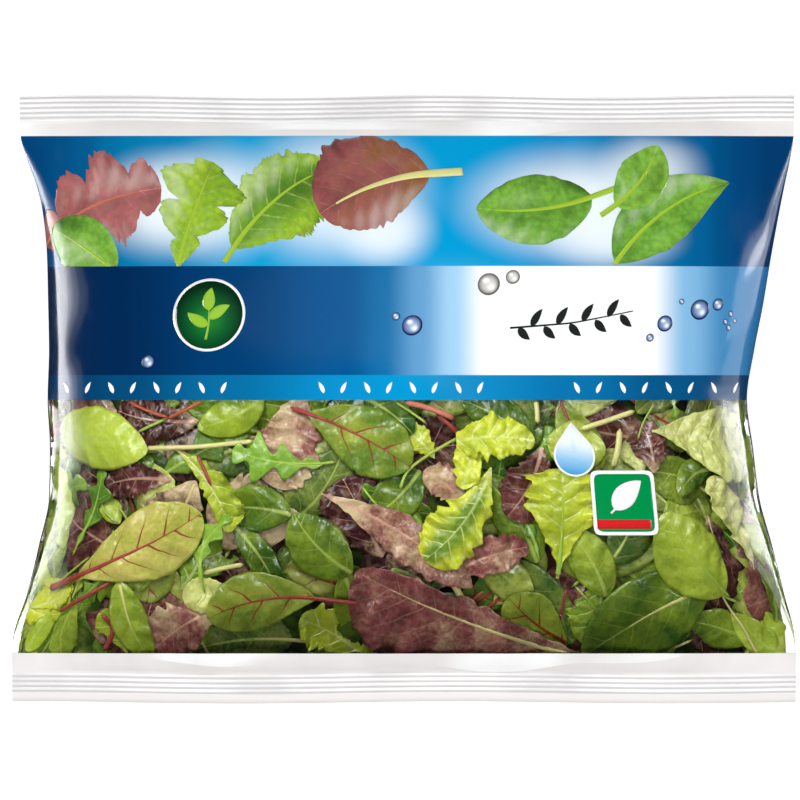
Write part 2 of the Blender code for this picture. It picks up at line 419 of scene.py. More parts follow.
def weld_skin(finish, place, x, y):
    """Milky welded film in grey, with painted light: soft white swoosh shapes as painted highlights on the
    plain strips, and ribs painted as lit white ridges over shaded grey grooves.
    """
    across = finish.node("Mapping", {"Vector": place, "Scale": (1, 0, 0)}).outputs[0]
    drift = finish.noise(across, 13.0, 1.0, 0.4)
    sway = finish.times(finish.minus(drift, 0.5), 0.034)
    upper = finish.minus(finish.minus(y, 0.0935), sway)
    lower = finish.minus(finish.plus(y, 0.0918), sway)
    in_top = finish.step(y, 0.0, 0.001)
    # swell: soft white swoosh shapes along the plain strips, painted highlights
    swell = finish.mix(in_top, finish.step(lower, -0.0001, 0.0004), finish.step(upper, -0.0001, 0.0004))
    patches = finish.noise(place, 21.0, 1.0, 0.4)
    colour = finish.mix(finish.times(swell, finish.step(patches, 0.42, 0.60)), SEAL_GREY, SEAL_HIGHLIGHT)
    wave_length = finish.minus(SWAY_LOW, finish.times(in_top, SWAY_LOW - SWAY_TOP))
    turn = finish.plus(finish.over(finish.times(x, TURN), wave_length), SWAY_START)
    straight = finish.minus(y, finish.times(finish.math("SINE", turn), SEAL_SWAY))
    top_run = finish.minus(HALF - TOP_HEM, straight)
    low_run = finish.plus(straight, HALF - BOTTOM_HEM)
    top_end, low_end = TOP_RIBS * RIB_PITCH, BOTTOM_RIBS * RIB_PITCH
    ribbed = finish.times(finish.step(top_run, -0.0002, 0.0),
                          finish.step(top_run, top_end - 0.0001, top_end, 1.0, 0.0))
    ribbed_low = finish.times(finish.step(low_run, -0.0001, 0.0),
                              finish.step(low_run, low_end - 0.0001, low_end, 1.0, 0.0))
    run = finish.mix(in_top, low_run, top_run)
    wave = finish.math("SINE", finish.times(run, -TURN / RIB_PITCH))
    # The ribs' colour is painted light and shade: white where their ridges would catch the light, grey in
    # their grooves, and shine varies how bright that painted highlight is
    shine = finish.step(finish.noise(place, 30.0, 1.0, 0.4), 0.35, 0.6, 0.55, 1.0)
    painted_rib_shading = finish.mix(finish.times(finish.step(wave, -1.0, 0.5), shine), SEAL_GROOVE_SHADE, SEAL_HIGHLIGHT)
    return finish.mix(finish.most(ribbed, ribbed_low), colour, painted_rib_shading)


def bag_film():
    """Glossy film: blue print with soft white glows above, clear in the window, milky at both welds, with
    painted highlights and painted rib shading there.
    """
    finish = Finish("bag_film")
    place = finish.place()
    x, y, z = finish.axes(place)
    share = finish.over(finish.plus(x, WIDTH / 2), WIDTH)
    panel = finish.ramp(share, along_width(PANEL_COLOURS))
    front = finish.step(z, 0.034, 0.040)
    for centre, radii, strength in GLOWS:
        glow = finish.times(soft_oval(finish, x, y, centre, radii, 0.85), strength)
        panel = finish.mix(finish.times(glow, front), panel, srgb(240, 249, 254))
    band = finish.ramp(share, along_width(BAND_COLOURS))
    stripe = finish.ramp(share, along_width(STRIPE_COLOURS))
    colour = finish.mix(finish.past(y, PANEL_LOW), band, panel)
    colour = finish.mix(finish.past(y, BAND_LOW), stripe, colour)
    lap = finish.times(finish.step(finish.size(x), 0.0058, 0.0062, 1.0, 0.0),
                       finish.step(z, 0.024, 0.026, 1.0, 0.0))
    milky = finish.most(finish.past(y, PANEL_TOP), finish.past(y, WINDOW_LOW, 1.0, 0.0))
    milky = finish.most(milky, finish.times(lap, 0.8))
    colour = finish.mix(milky, colour, weld_skin(finish, place, x, y))
    solid = finish.most(finish.past(y, STRIPE_LOW), milky)
    rough, crinkle = film_surface(finish, 0.06, 0.11)
    clear = finish.node("BsdfTransparent", {"Color": srgb(252, 253, 253)}).outputs[0]
    shine = finish.node("BsdfGlossy", {
        "Color": (1, 1, 1, 1), "Roughness": rough, "Normal": crinkle}).outputs[0]
    gloss = finish.node("Fresnel", {"IOR": FILM_IOR, "Normal": crinkle}).outputs[0]
    window = finish.shader_mix(gloss, clear, shine)
    return finish.done(finish.shader_mix(solid, window, printed_skin(finish, colour)))


# ---------------------------------------------------------------- the film


def sheet_grid(mesh, columns, places, shape):
    """A grid shaped by a function of (column from -1 to 1, place). Gives its open edges."""
    made = bmesh.ops.create_grid(mesh, x_segments=columns, y_segments=len(places) - 1, size=1)
    grid = np.array([vertex.co[:2] for vertex in made["verts"]])
    rows = np.rint((grid[:, 1] + 1) / 2 * (len(places) - 1)).astype(int)
    for row, place in enumerate(places):
        found = np.nonzero(rows == row)[0]
        for index, point in zip(found, shape(grid[found, 0], place)):
            made["verts"][index].co = point
    edges = {edge for vertex in made["verts"] for edge in vertex.link_edges}
    return [edge for edge in edges if edge.is_boundary]


def film_points(face):
    def points(columns, y):
        x, z = film_row(y, columns, face)
        return np.stack([x, y + sway(x, y), z], axis=-1)
    return points


def film_rows():
    """Rows along the film: eight to each rib, and even steps of a millimetre between the welds."""
    fine = RIB_PITCH / 8
    bottom = np.arange(-HALF + BOTTOM_HEM, BODY_LOW - fine / 2, fine)
    body = np.linspace(BODY_LOW, BODY_HIGH, 165)
    top = np.arange(BODY_HIGH + fine, HALF - TOP_HEM + fine / 2, fine)
    return [-HALF, -HALF + BOTTOM_HEM / 2, *bottom, *body, *top, HALF]


def put(name, data):
    """Puts an object with this data into the scene."""
    made = bpy.data.objects.new(name, data)
    bpy.context.scene.collection.objects.link(made)
    return made


def put_mesh(name, mesh, material):
    data = bpy.data.meshes.new(name)
    mesh.to_mesh(data)
    mesh.free()
    data.materials.append(material)
    return put(name, data)


def finish_piece(mesh, name, material, replaces=()):
    """Makes a bmesh into a smooth-shaded piece of the bag."""
    piece = put_mesh(name, mesh, material)
    piece.data.shade_smooth()
    if replaces:
        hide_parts(*replaces)
    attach(piece, "root")
    return piece


def thicken(piece, thickness):
    """Gives a sheet its thickness, half of it to each side."""
    wall = piece.modifiers.new("thickness", "SOLIDIFY")
    wall.thickness = thickness
    wall.offset = 0.0


def make_film():
    mesh = bmesh.new()
    rims = [sheet_grid(mesh, 164, film_rows(), film_points(face)) for face in (FRONT, BACK)]
    bmesh.ops.bridge_loops(mesh, edges=rims[0] + rims[1])
    bmesh.ops.recalc_face_normals(mesh, faces=mesh.faces)
    film = finish_piece(mesh, "film", bag_film(), ("bag",))


make_film()

# ---------------------------------------------------------------- leaf materials

# dark and bright: the blade's range. second: what its second colour is. vein, gap: colour and spacing in cm.
LOOKS = {
    "spinach": dict(dark=(44, 86, 26), bright=(184, 208, 52), second=(216, 212, 130), vein=(190, 208, 104),
                    vein_gap=0.74, vein_lean=0.75, vein_width=0.030, vein_show=0.32, mesh_show=0.06,
                    rough=0.28, blisters=0.24),
    "chard": dict(dark=(76, 122, 36), bright=(188, 196, 66), second=(216, 196, 124), vein=(142, 22, 34),
                  vein_gap=0.98, vein_lean=0.70, vein_width=0.050, vein_show=0.95, mesh_show=0.10,
                  rough=0.28, blisters=0.28),
    "rocket": dict(dark=(52, 104, 32), bright=(150, 196, 62), second=(192, 210, 100), vein=(180, 212, 100),
                   vein_gap=0.85, vein_lean=0.8, vein_width=0.026, vein_show=0.45, mesh_show=0.06,
                   rough=0.29, blisters=0.22),
    "lime": dict(dark=(96, 140, 24), bright=(212, 220, 58), second=(66, 118, 30), vein=(238, 244, 168),
                 vein_gap=0.62, vein_lean=0.6, vein_width=0.040, vein_show=0.55, mesh_show=0.12,
                 rough=0.28, blisters=0.42, rib_show=0.45),
    "pale": dict(dark=(150, 172, 58), bright=(236, 238, 134), second=(240, 240, 184), vein=(246, 246, 198),
                 vein_gap=0.62, vein_lean=0.5, vein_width=0.040, vein_show=0.28, mesh_show=0.14,
                 rough=0.28, blisters=0.5, rib_show=0.4),
    "red": dict(dark=(52, 20, 24), bright=(156, 86, 84), second=(214, 192, 150), vein=(214, 168, 146),
                vein_gap=0.7, vein_lean=0.6, vein_width=0.030, vein_show=0.42, mesh_show=0.20,
                rough=0.23, blisters=0.36),
}
# How the printed leaves' colours differ: cooler and cleaner
PRINTED_LOOKS = {
    "spinach": dict(dark=(24, 92, 34), bright=(126, 190, 66), second=(196, 216, 104), vein=(176, 210, 110)),
    "lime": dict(dark=(86, 150, 38), bright=(184, 216, 60), second=(24, 104, 44), vein=(206, 228, 130)),
    "red": dict(dark=(112, 38, 44), bright=(186, 112, 112), second=(140, 92, 48), vein=(222, 158, 150)),
}


def leaf_skin(finish, colour, rough, normal, coat_rough):
    """Fresh skin of a leaf or stalk, with a thin gleaming coat."""
    return finish.node("BsdfPrincipled", {
        "Base Color": colour, "Roughness": rough, "Normal": normal, "IOR": 1.45, "Coat Weight": 0.2,
        "Coat Roughness": coat_rough}).outputs[0]


def leaf_material(kind, printed=False):
    """A leaf's skin: colour by its own place on the leaf, with side veins, a net of fine veins and blisters.
    Printed leaves are flat, so their blisters are shades of the colour under the film's gloss."""
    look = LOOKS[kind] | (PRINTED_LOOKS[kind] if printed else {})
    finish = Finish(("printed_" if printed else "") + kind + "_leaf")
    place = finish.held("leaf_place")
    along, off, _ = finish.axes(place)
    up, out, falling = finish.axes(finish.held("leaf_shape"))
    # light is the blade's brightness from its tint; for filling leaves it also holds painted shade, lower the
    # deeper they lie
    light, second, own = finish.axes(finish.held("leaf_tint"))
    across = finish.size(off)
    hand = finish.times(finish.math("SIGN", off), look["vein_gap"] / 5)
    shift = finish.node("CombineXYZ", {2: finish.times(own, 40.0)}).outputs[0]
    spot = finish.node("VectorMath", {0: place, 1: shift}, operation="ADD").outputs[0]
    broad, fine = finish.noise(spot, 0.9, 2.0), finish.noise(spot, 7.0, 4.0, 0.6)
    bent = finish.plus(finish.plus(along, hand), finish.times(finish.minus(broad, 0.5), 0.35))
    arch = finish.times(finish.times(across, across), 0.22)
    run = finish.minus(bent, finish.plus(finish.times(across, look["vein_lean"]), arch))
    apart = finish.math("PINGPONG", run, look["vein_gap"] / 2)
    width = finish.times(finish.minus(1.15, out), look["vein_width"])
    veins = finish.step(finish.over(apart, width), 0.25, 1.3, 1.0, 0.0)
    middle_width = finish.times(finish.minus(1.1, up), 0.085)
    middle = finish.step(finish.over(across, middle_width), 0.4, 1.1, 1.0, 0.0)
    net = finish.node("TexVoronoi", {"Vector": spot, "Scale": 5.2}, feature="SMOOTH_F1").outputs[0]
    net_lines = finish.step(net, 0.35, 0.75)
    tone = finish.plus(light, finish.times(finish.minus(broad, 0.5), 1.1))
    tone = finish.plus(tone, finish.times(finish.minus(fine, 0.5), 0.30))
    colour = finish.mix(finish.step(tone, -0.1, 1.1), srgb(*look["dark"]), srgb(*look["bright"]))
    if kind == "lime":
        amount = finish.times(finish.step(out, 0.15, 0.8, 1.0, 0.0), finish.step(broad, 0.3, 0.6, 0.3, 1.0))
        amount = finish.times(amount, second)
    elif kind == "red":
        rise = finish.plus(second, finish.step(up, 0.0, 0.45, 0.5, 0.0))
        patch = finish.times(finish.minus(broad, 0.5), 1.6)
        patch = finish.plus(patch, finish.times(finish.minus(fine, 0.5), 0.8))
        amount = finish.step(finish.plus(rise, patch), 0.15, 0.95)
    else:
        amount = finish.times(second, finish.step(finish.plus(broad, fine), 0.7, 1.3, 0.2, 1.0))
    colour = finish.mix(amount, colour, srgb(*look["second"]))
    lines = finish.most(finish.times(veins, look["vein_show"]), finish.times(net_lines, look["mesh_show"]))
    lines = finish.most(lines, finish.times(middle, look.get("rib_show", min(1.0, look["vein_show"] + 0.35))))
    if kind == "chard":
        lines = finish.times(lines, finish.step(out, 0.45, 0.95, 1.0, 0.08))
        lines = finish.times(lines, finish.step(fine, 0.35, 0.5, 0.6, 1.0))
    colour = finish.mix(lines, colour, srgb(*look["vein"]))
    blisters = finish.plus(finish.times(finish.step(net, 0.15, 0.75, 1.0, 0.0), 0.8),
                           finish.times(fine, 0.45))
    blisters = finish.minus(blisters, finish.times(veins, 0.6))
    if printed:
        shade = finish.mix(finish.step(blisters, -0.2, 1.1), srgb(204, 212, 198), (1, 1, 1, 1))
        shaded = finish.mix(1.0, colour, shade, "MULTIPLY")
        deeper, paler = finish.mix(0.72, shaded, (0, 0, 0, 1)), finish.mix(0.30, shaded, (1, 1, 0.9, 1))
        lit = finish.mix(finish.step(falling, 0.0, 0.5, 1.0, 0.0), shaded, deeper)
        lit = finish.mix(finish.step(falling, 0.5, 1.0), lit, paler)
        return finish.done(printed_skin(finish, lit))
    normal = finish.bump(blisters, 0.0009, look["blisters"])
    rough = finish.step(fine, 0.3, 0.7, look["rough"] - 0.06, look["rough"] + 0.14)
    skin = leaf_skin(finish, colour, rough, normal, 0.17)
    glow = finish.mix(1.0, colour, srgb(228, 244, 110), "MULTIPLY")
    through = finish.node("BsdfTranslucent", {"Color": glow, "Normal": normal}).outputs[0]
    return finish.done(finish.shader_mix(0.18, skin, through))


def stalk_material():
    """Juicy stalks and midribs with fine ribs along them, each in its own colour."""
    finish = Finish("stalk_skin")
    place = finish.held("leaf_place")
    own = finish.held("stalk_colour", "Color")
    squeezed = finish.node("Mapping", {"Vector": place, "Scale": (0.9, 9.0, 1.0)}).outputs[0]
    streaks = finish.noise(squeezed, 1.6, 3.0, 0.6)
    streaked = finish.step(streaks, 0.3, 0.7, 0.0, 0.7)
    colour = finish.mix(streaked, own, finish.mix(0.22, own, srgb(250, 226, 200)))
    normal = finish.bump(streaks, 0.0003, 0.6)
    skin = leaf_skin(finish, colour, 0.25, normal, 0.1)
    through = finish.node("BsdfTranslucent", {"Color": colour}).outputs[0]
    return finish.done(finish.shader_mix(0.15, skin, through))


# ---------------------------------------------------------------- leaf shapes

# widest: where along the leaf; blunt: how full its outline is; neck: how much it narrows towards its base;
# frill, teeth: (share of the width, count); arch, cup, quilt, dent, ruffle, crumple: relief in mm;
# cells: mesh along and across.
FORMS = {
    "spinach": dict(widest=0.45, blunt=0.60, neck=0.15, frill=(0.02, 3), teeth=(0.0, 1), slant=0.08, arch=1.8,
                    cup=3.0, quilt=0.55, dent=0.8, ruffle=(0.7, 2.5), crumple=0.10, cells=(34, 18)),
    "chard": dict(widest=0.56, blunt=0.54, neck=0.35, frill=(0.025, 4), teeth=(0.0, 1), slant=0.08, arch=1.6,
                  cup=2.4, quilt=0.80, dent=0.7, ruffle=(0.9, 4), crumple=0.14, cells=(36, 20)),
    "rocket": dict(widest=0.62, blunt=0.55, neck=0.2, frill=(0.03, 7), teeth=(0.0, 1), slant=0.35, arch=1.6,
                   cup=1.4, quilt=0.2, dent=0.4, ruffle=(0.8, 3), crumple=0.08, cells=(52, 12), lobes=3.5),
    "lime": dict(widest=0.66, blunt=0.45, neck=0.45, frill=(0.14, 4.3), teeth=(0.045, 14), slant=0.15,
                 arch=1.0, cup=0.8, quilt=0.45, dent=0.9, ruffle=(3.2, 5), crumple=0.18, cells=(60, 30)),
    "pale": dict(widest=0.72, blunt=0.5, neck=0.2, frill=(0.06, 4), teeth=(0.03, 19), slant=0.15, arch=0.8,
                 cup=0.8, quilt=0.5, dent=1.3, ruffle=(1.6, 3.4), crumple=0.26, cells=(52, 26)),
    "red": dict(widest=0.58, blunt=0.48, neck=0.3, frill=(0.12, 4), teeth=(0.05, 14), slant=0.15, arch=1.2,
                cup=1.2, quilt=0.40, dent=1.1, ruffle=(2.8, 4.5), crumple=0.20, cells=(54, 28)),
}
LEAF_THICKNESS = 0.0003
LAYER_GAP = 0.0007
DRAPE_SLOPE = 0.6
DRAPE_REACH = 0.011
STALK_STEP = 0.0016
chance = np.random.default_rng(17)


def finer(grid, times):
    """The grid's values at several times as many places, by straight lines between them."""
    for axis in (0, 1):
        count = grid.shape[axis]
        places = np.linspace(0, count - 1, (count - 1) * times + 1)
        low = np.minimum(places.astype(int), count - 2)
        share = places - low
        first, second = np.take(grid, low, axis), np.take(grid, low + 1, axis)
        share = share[:, None] if axis == 0 else share[None, :]
        grid = first * (1 - share) + second * share
    return grid


class Heap:
    """The leaves already under the film, as the depth that each place is taken down to."""

    def __init__(self):
        self.taken = np.zeros_like(TABLES[0])

    def lowest(self, girth, y):
        """How deep a new leaf has to lie here: under the leaves already there, draped off their edges."""
        reach = int(DRAPE_REACH / CELL)
        ways = ((y, HALF), (girth, GIRTH))
        low = [max(0, int((values.min() + start) / CELL) - reach) for values, start in ways]
        high = [int((values.max() + start) / CELL) + reach + 2 for values, start in ways]
        local = self.taken[low[0]:high[0], low[1]:high[1]].copy()
        drop = DRAPE_SLOPE * CELL
        for _ in range(reach):
            for axis in (0, 1):
                moved = np.moveaxis(local, axis, 0)
                moved[1:] = np.maximum(moved[1:], moved[:-1] - drop)
                moved[:-1] = np.maximum(moved[:-1], moved[1:] - drop)
        for _ in range(3):
            padded = np.pad(local, 1, mode="edge")
            local = (padded[1:-1, 1:-1] * 2 + padded[:-2, 1:-1] + padded[2:, 1:-1] + padded[1:-1, :-2]
                     + padded[1:-1, 2:]) / 6
        column = ((girth + GIRTH) / CELL - low[1]).clip(0, local.shape[1] - 1).astype(int)
        row = ((y + HALF) / CELL - low[0]).clip(0, local.shape[0] - 1).astype(int)
        return local[row, column]

    def settle(self, girth, y, depth, times):
        """Marks a sheet's places as taken."""
        girth, y, depth = (finer(values, times).ravel() for values in (girth, y, depth))
        column = ((girth + GIRTH) / CELL).round().clip(0, self.taken.shape[1] - 1).astype(int)
        row = ((y + HALF) / CELL).round().clip(0, self.taken.shape[0] - 1).astype(int)
        np.maximum.at(self.taken, (row, column), depth + LAYER_GAP)


def above_weld(y):
    """Leaves stop short of the bottom weld: what would pass it is pressed together just above it."""
    start, room = -0.0855, 0.0058
    return np.where(y < start, start - room * np.tanh((start - y) / room), y)


def soft_floor(wanted, floor, blend=0.0005):
    """wanted where it is well above floor, and never less than floor."""
    return floor + blend * np.logaddexp(0, (wanted - floor) / blend)


class Pieces:
    """One bmesh for each kind of leaf and one for all stalks, filled leaf by leaf."""

    def __init__(self):
        self.meshes = {}

    def mesh(self, name):
        if name not in self.meshes:
            made = bmesh.new()
            for layer in ("leaf_place", "leaf_shape", "leaf_tint"):
                made.verts.layers.float_vector.new(layer)
            made.verts.layers.float_color.new("stalk_colour")
            self.meshes[name] = made
        return self.meshes[name]

    def add_grid(self, name, points, layers):
        """Adds a grid with these points, and the values that its layers hold at each."""
        mesh = self.mesh(name)
        rows, columns = points.shape[:2]
        made = bmesh.ops.create_grid(mesh, x_segments=columns - 1, y_segments=rows - 1, size=1)["verts"]
        flat = points.reshape(-1, 3).tolist()
        for vertex, point in zip(made, flat):
            vertex.co = point
        for layer, values in layers.items():
            kinds = mesh.verts.layers
            held = (kinds.float_color if layer == "stalk_colour" else kinds.float_vector)[layer]
            for vertex, value in zip(made, values.reshape(-1, values.shape[-1]).tolist()):
                vertex[held] = value
        return made


class Midline:
    """A leaf's middle line on the unrolled film: an even curve to the tip, straight beyond the base."""

    def __init__(self, base, tip, bend):
        self.base, way = np.array(base), np.array(tip) - np.array(base)
        self.length = float(np.hypot(*way))
        self.way = way / self.length
        self.aside = np.array((-self.way[1], self.way[0]))
        self.bend = bend

    def at(self, run, off):
        """Places at a run along the line and off to its side."""
        share = run / self.length
        bow = np.where(share > 0, 4 * self.bend * share * (1 - share), 4 * self.bend * share)
        lean = np.where(share > 0, 4 * self.bend * (1 - 2 * share), 4 * self.bend) / self.length
        size = np.sqrt(1 + lean ** 2)
        forward, aside = run - off * lean / size, bow + off / size
        base, way, beside = (line[:, None, None] for line in (self.base, self.way, self.aside))
        places = base + way * forward + beside * aside
        return places[0], places[1]


    def along(self, run):
        """Places at a run along the line itself."""
        return [values[:, 0] for values in self.at(run[:, None], np.zeros((len(run), 1)))]


def beside(girth, y, off):
    """Places off to the side of a line: a row of them for each of its points."""
    heading = np.stack([np.gradient(girth), np.gradient(y)])
    heading /= np.maximum(1e-9, np.hypot(*heading))
    return girth[:, None] - heading[1][:, None] * off, y[:, None] + heading[0][:, None] * off


def spread(values, places):
    """The same values at each of the places."""
    return np.broadcast_to(np.array(values), places.shape + (len(values),))


def leaf_layers(up, out, run, off, third, tint):
    """What a leaf's skin is painted by: its place on the leaf in cm, its shares of the leaf, and its tint."""
    return {"leaf_place": np.stack([run * 100, off * 100, np.zeros_like(run)], axis=-1),
            "leaf_shape": np.stack([up, np.abs(out), third], axis=-1),
            "leaf_tint": spread([*tint, chance.uniform()], up)}


def places_up(rows):
    """Rows of a leaf's mesh as shares of its length, closer together at its ends."""
    share = np.linspace(0, 1, rows + 1)
    return 0.35 * share + 0.325 * (1 - np.cos(math.pi * share))


def outline(form, up, side, turns):
    """Half a blade's width at shares of the way up it, as a share of its widest."""
    power = math.log(0.5) / math.log(form["widest"])
    width = np.sin(math.pi * up ** power).clip(0) ** form["blunt"]
    if "lobes" in form:
        lobe = 0.5 - 0.5 * np.cos(TURN * (form["lobes"] * up ** 0.9 + 0.06 * side))
        depth, power = form.get("notches", (0.74, 1.1))
        width = width * (1 - depth + depth * lobe ** power) * (0.6 + 0.55 * up)
    width = width * (1 - form["neck"] * (1 - up) ** 3)
    uneven = up + 0.05 * np.sin(TURN * 1.7 * up + turns[1] + side)
    for (share, count), turn in zip((form["frill"], form["teeth"]), turns):
        swell = 1 + 0.5 * np.sin(TURN * 0.37 * count * up + 2 * turn)
        loose = uneven + 0.35 / count * np.sin(TURN * 0.61 * count * up + turn)
        width = width * (1 + share * swell * np.sin(TURN * count * loose + turn + 1.3 * side))
    return width.clip(0.035)


def blade(line, form, up, out, half, turns, lean):
    """Where a blade's mesh lies: off its middle line and along it, and round and along the bag."""
    left = outline(form, up, -1, turns) * (1 + lean)
    right = outline(form, up, 1, turns[2:]) * (1 - lean)
    off = out * np.where(out < 0, left, right) * half
    run = up * line.length + form["slant"] * np.abs(off) * (1 - up ** 3)
    return off, run, *line.at(run, off)


def leaf_relief(form, look, up, out, run, off, twist, turns):
    """How far below its highest part each place on a leaf lies, in mm."""
    share, hand = np.abs(out), 1.0 if math.sin(turns[4]) > -0.4 else -0.6
    relief = form["arch"] * (2 * up - 1) ** 2 + form["cup"] * hand * share ** 2 + twist * out
    lie = run * 100 - look["vein_lean"] * np.abs(off) * 100 + np.sign(off) * look["vein_gap"] / 5
    relief -= form["quilt"] * np.cos(TURN * lie / look["vein_gap"] + math.pi) * 4 * share * (1.1 - share)
    relief += form["dent"] * np.sin(run / 0.0062 + turns[3]) * np.sin(off / 0.0049 + turns[5] + run / 0.011)
    size, count = form["ruffle"]
    loose = up + 0.06 * np.sin(TURN * 1.6 * up + turns[5]) + 0.03 * np.sin(TURN * 3.7 * up + turns[0])
    frill = np.sin(TURN * count * loose + turns[6] + out)
    frill += (0.6 * np.sin(TURN * 2.3 * count * loose + turns[7] - 2 * out)
              * np.sin(TURN * 1.3 * up + turns[1]))
    relief += size * share ** 1.8 * frill
    relief += (form["crumple"] * np.sin(run / 0.00105 + turns[3])
               * np.sin(off / 0.0010 + turns[2] + run / 0.004))
    relief += (0.8 * form["crumple"] * np.sin(run / 0.0019 + turns[1] + off / 0.003)
               * np.sin(off / 0.0016 + turns[0]))
    return relief - np.percentile(relief, 8)


def add_leaf(heap, pieces, kind, base, tip, width, bend=0.0, depth=(0.8, 0.8), petiole=0.0, tint=(0.5, 0.0),
             lean=0.0, stalk=None, rib_size=1.0, twist=0.0, form=None, detail=1.0):
    """Lays one leaf under the film and under every leaf laid before it. Lengths are in mm, base and tip as
    (girth, along the bag), and detail is the share of its form's cells that it is made of."""
    form = FORMS[kind] | (form or {})
    line = Midline(np.array(base) / 1000, np.array(tip) / 1000, bend / 1000)
    turns = chance.uniform(0, TURN, 8)
    share = detail * min(1.0, 0.4 + 20 * line.length)
    rows, columns = (2 * int(cells * share / 2) for cells in form["cells"])
    up, out = np.meshgrid(places_up(rows), np.linspace(-1, 1, columns + 1), indexing="ij")
    half = width / 2000
    off, run, girth, y = blade(line, form, up, out, half, turns, lean)
    y = above_weld(y)
    size = min(1.0, line.length / 0.032)
    relief = depth[0] + (depth[1] - depth[0]) * up
    relief = relief + size * leaf_relief(form, LOOKS[kind], up, off / half, run, off, twist, turns)
    rib_radius = 0.00075 * rib_size * min(1.25, line.length / 0.036)
    keel = (1000 * rib_radius * 1.1 * np.exp(-(off / 0.0016) ** 2) * (1 - 0.8 * up)) if stalk else 0.0
    wanted = (relief + keel) / 1000
    under = heap.lowest(girth, y)
    deep = soft_floor(wanted, under + 0.0004)
    layers = leaf_layers(up, out, run, off, np.zeros_like(up), tint)
    pieces.add_grid(kind, inside(girth, y, deep), layers)
    if stalk:
        reach = 0.86 * line.length
        path = np.linspace(-petiole / 1000, reach, max(12, int((petiole / 1000 + reach) / STALK_STEP)))
        path_girth, path_y = line.along(path)
        on_leaf = np.interp(path / line.length, up[:, 0], deep[:, columns // 2])
        thinning = 1 - 0.86 * (path / reach).clip(0, 1) ** 0.8
        radius = rib_radius * np.where(path > 0, thinning, 1 + 0.15 * (path < 0))
        free = deep[0, columns // 2] + 0.06 * -path.clip(None, 0)
        centre = np.where(path > 0, on_leaf - 0.25 * radius, free)
        add_stalk(heap, pieces, path_girth, above_weld(path_y), centre, radius, stalk)
    heap.settle(girth, y, deep, 3 if detail == 1 else 5)


def add_stalk(heap, pieces, girth, y, depth, radius, colour):
    """A round stalk along a line under the film, closed at both ends."""
    under = heap.lowest(girth, y)
    depth = soft_floor(depth, np.maximum(under, 0.0002) + radius)
    around = np.linspace(-math.pi, math.pi, 9)
    ends = np.ones(len(girth))
    ends[[0, -1]] = 0.02
    size = (radius * ends)[:, None]
    aside, down = np.cos(around)[None, :] * size, np.sin(around)[None, :] * size
    points = inside(*beside(girth, y, aside), (depth[:, None] + down).clip(0.0001))
    run = run_along(girth, y)[:, None] + 0 * around
    place = np.stack([run * 100, around[None, :] + 0 * run, np.full_like(run, chance.uniform() * 9)], axis=-1)
    shades = spread(srgb(*colour), run)
    made = pieces.add_grid("stalks", points, {"leaf_place": place, "stalk_colour": shades})
    bmesh.ops.remove_doubles(pieces.mesh("stalks"), verts=made, dist=0.00004)
    wide = np.linspace(-1, 1, 3)[None, :] * radius[:, None]
    heap.settle(*beside(girth, y, wide), (depth + radius)[:, None] + 0 * wide, 3)


# ---------------------------------------------------------------- the leaves seen through the window

CRIMSON, ORANGE, CREAM, LIME_STALK = (164, 14, 28), (196, 70, 40), (232, 228, 150), (168, 204, 62)
PINK = (214, 120, 98)
# Changes to a kind's form for single leaves
SMOOTH = dict(quilt=0.28, dent=0.5, crumple=0.04)
NARROW = dict(neck=0.75, widest=0.60, quilt=0.6)
WIDE = dict(neck=0.0, widest=0.45, ruffle=(2.4, 3.3), frill=(0.20, 2.7), teeth=(0.05, 12))
FAN = dict(neck=0.8, widest=0.74, blunt=0.5)
POINTED = dict(neck=0.0, widest=0.62, blunt=0.75, ruffle=(2.4, 5), dent=1.8, crumple=0.35, frill=(0.08, 5))
RUFFLED = dict(ruffle=(4.6, 4.5), dent=2.8, crumple=0.45, frill=(0.10, 5), teeth=(0.04, 22), widest=0.62)

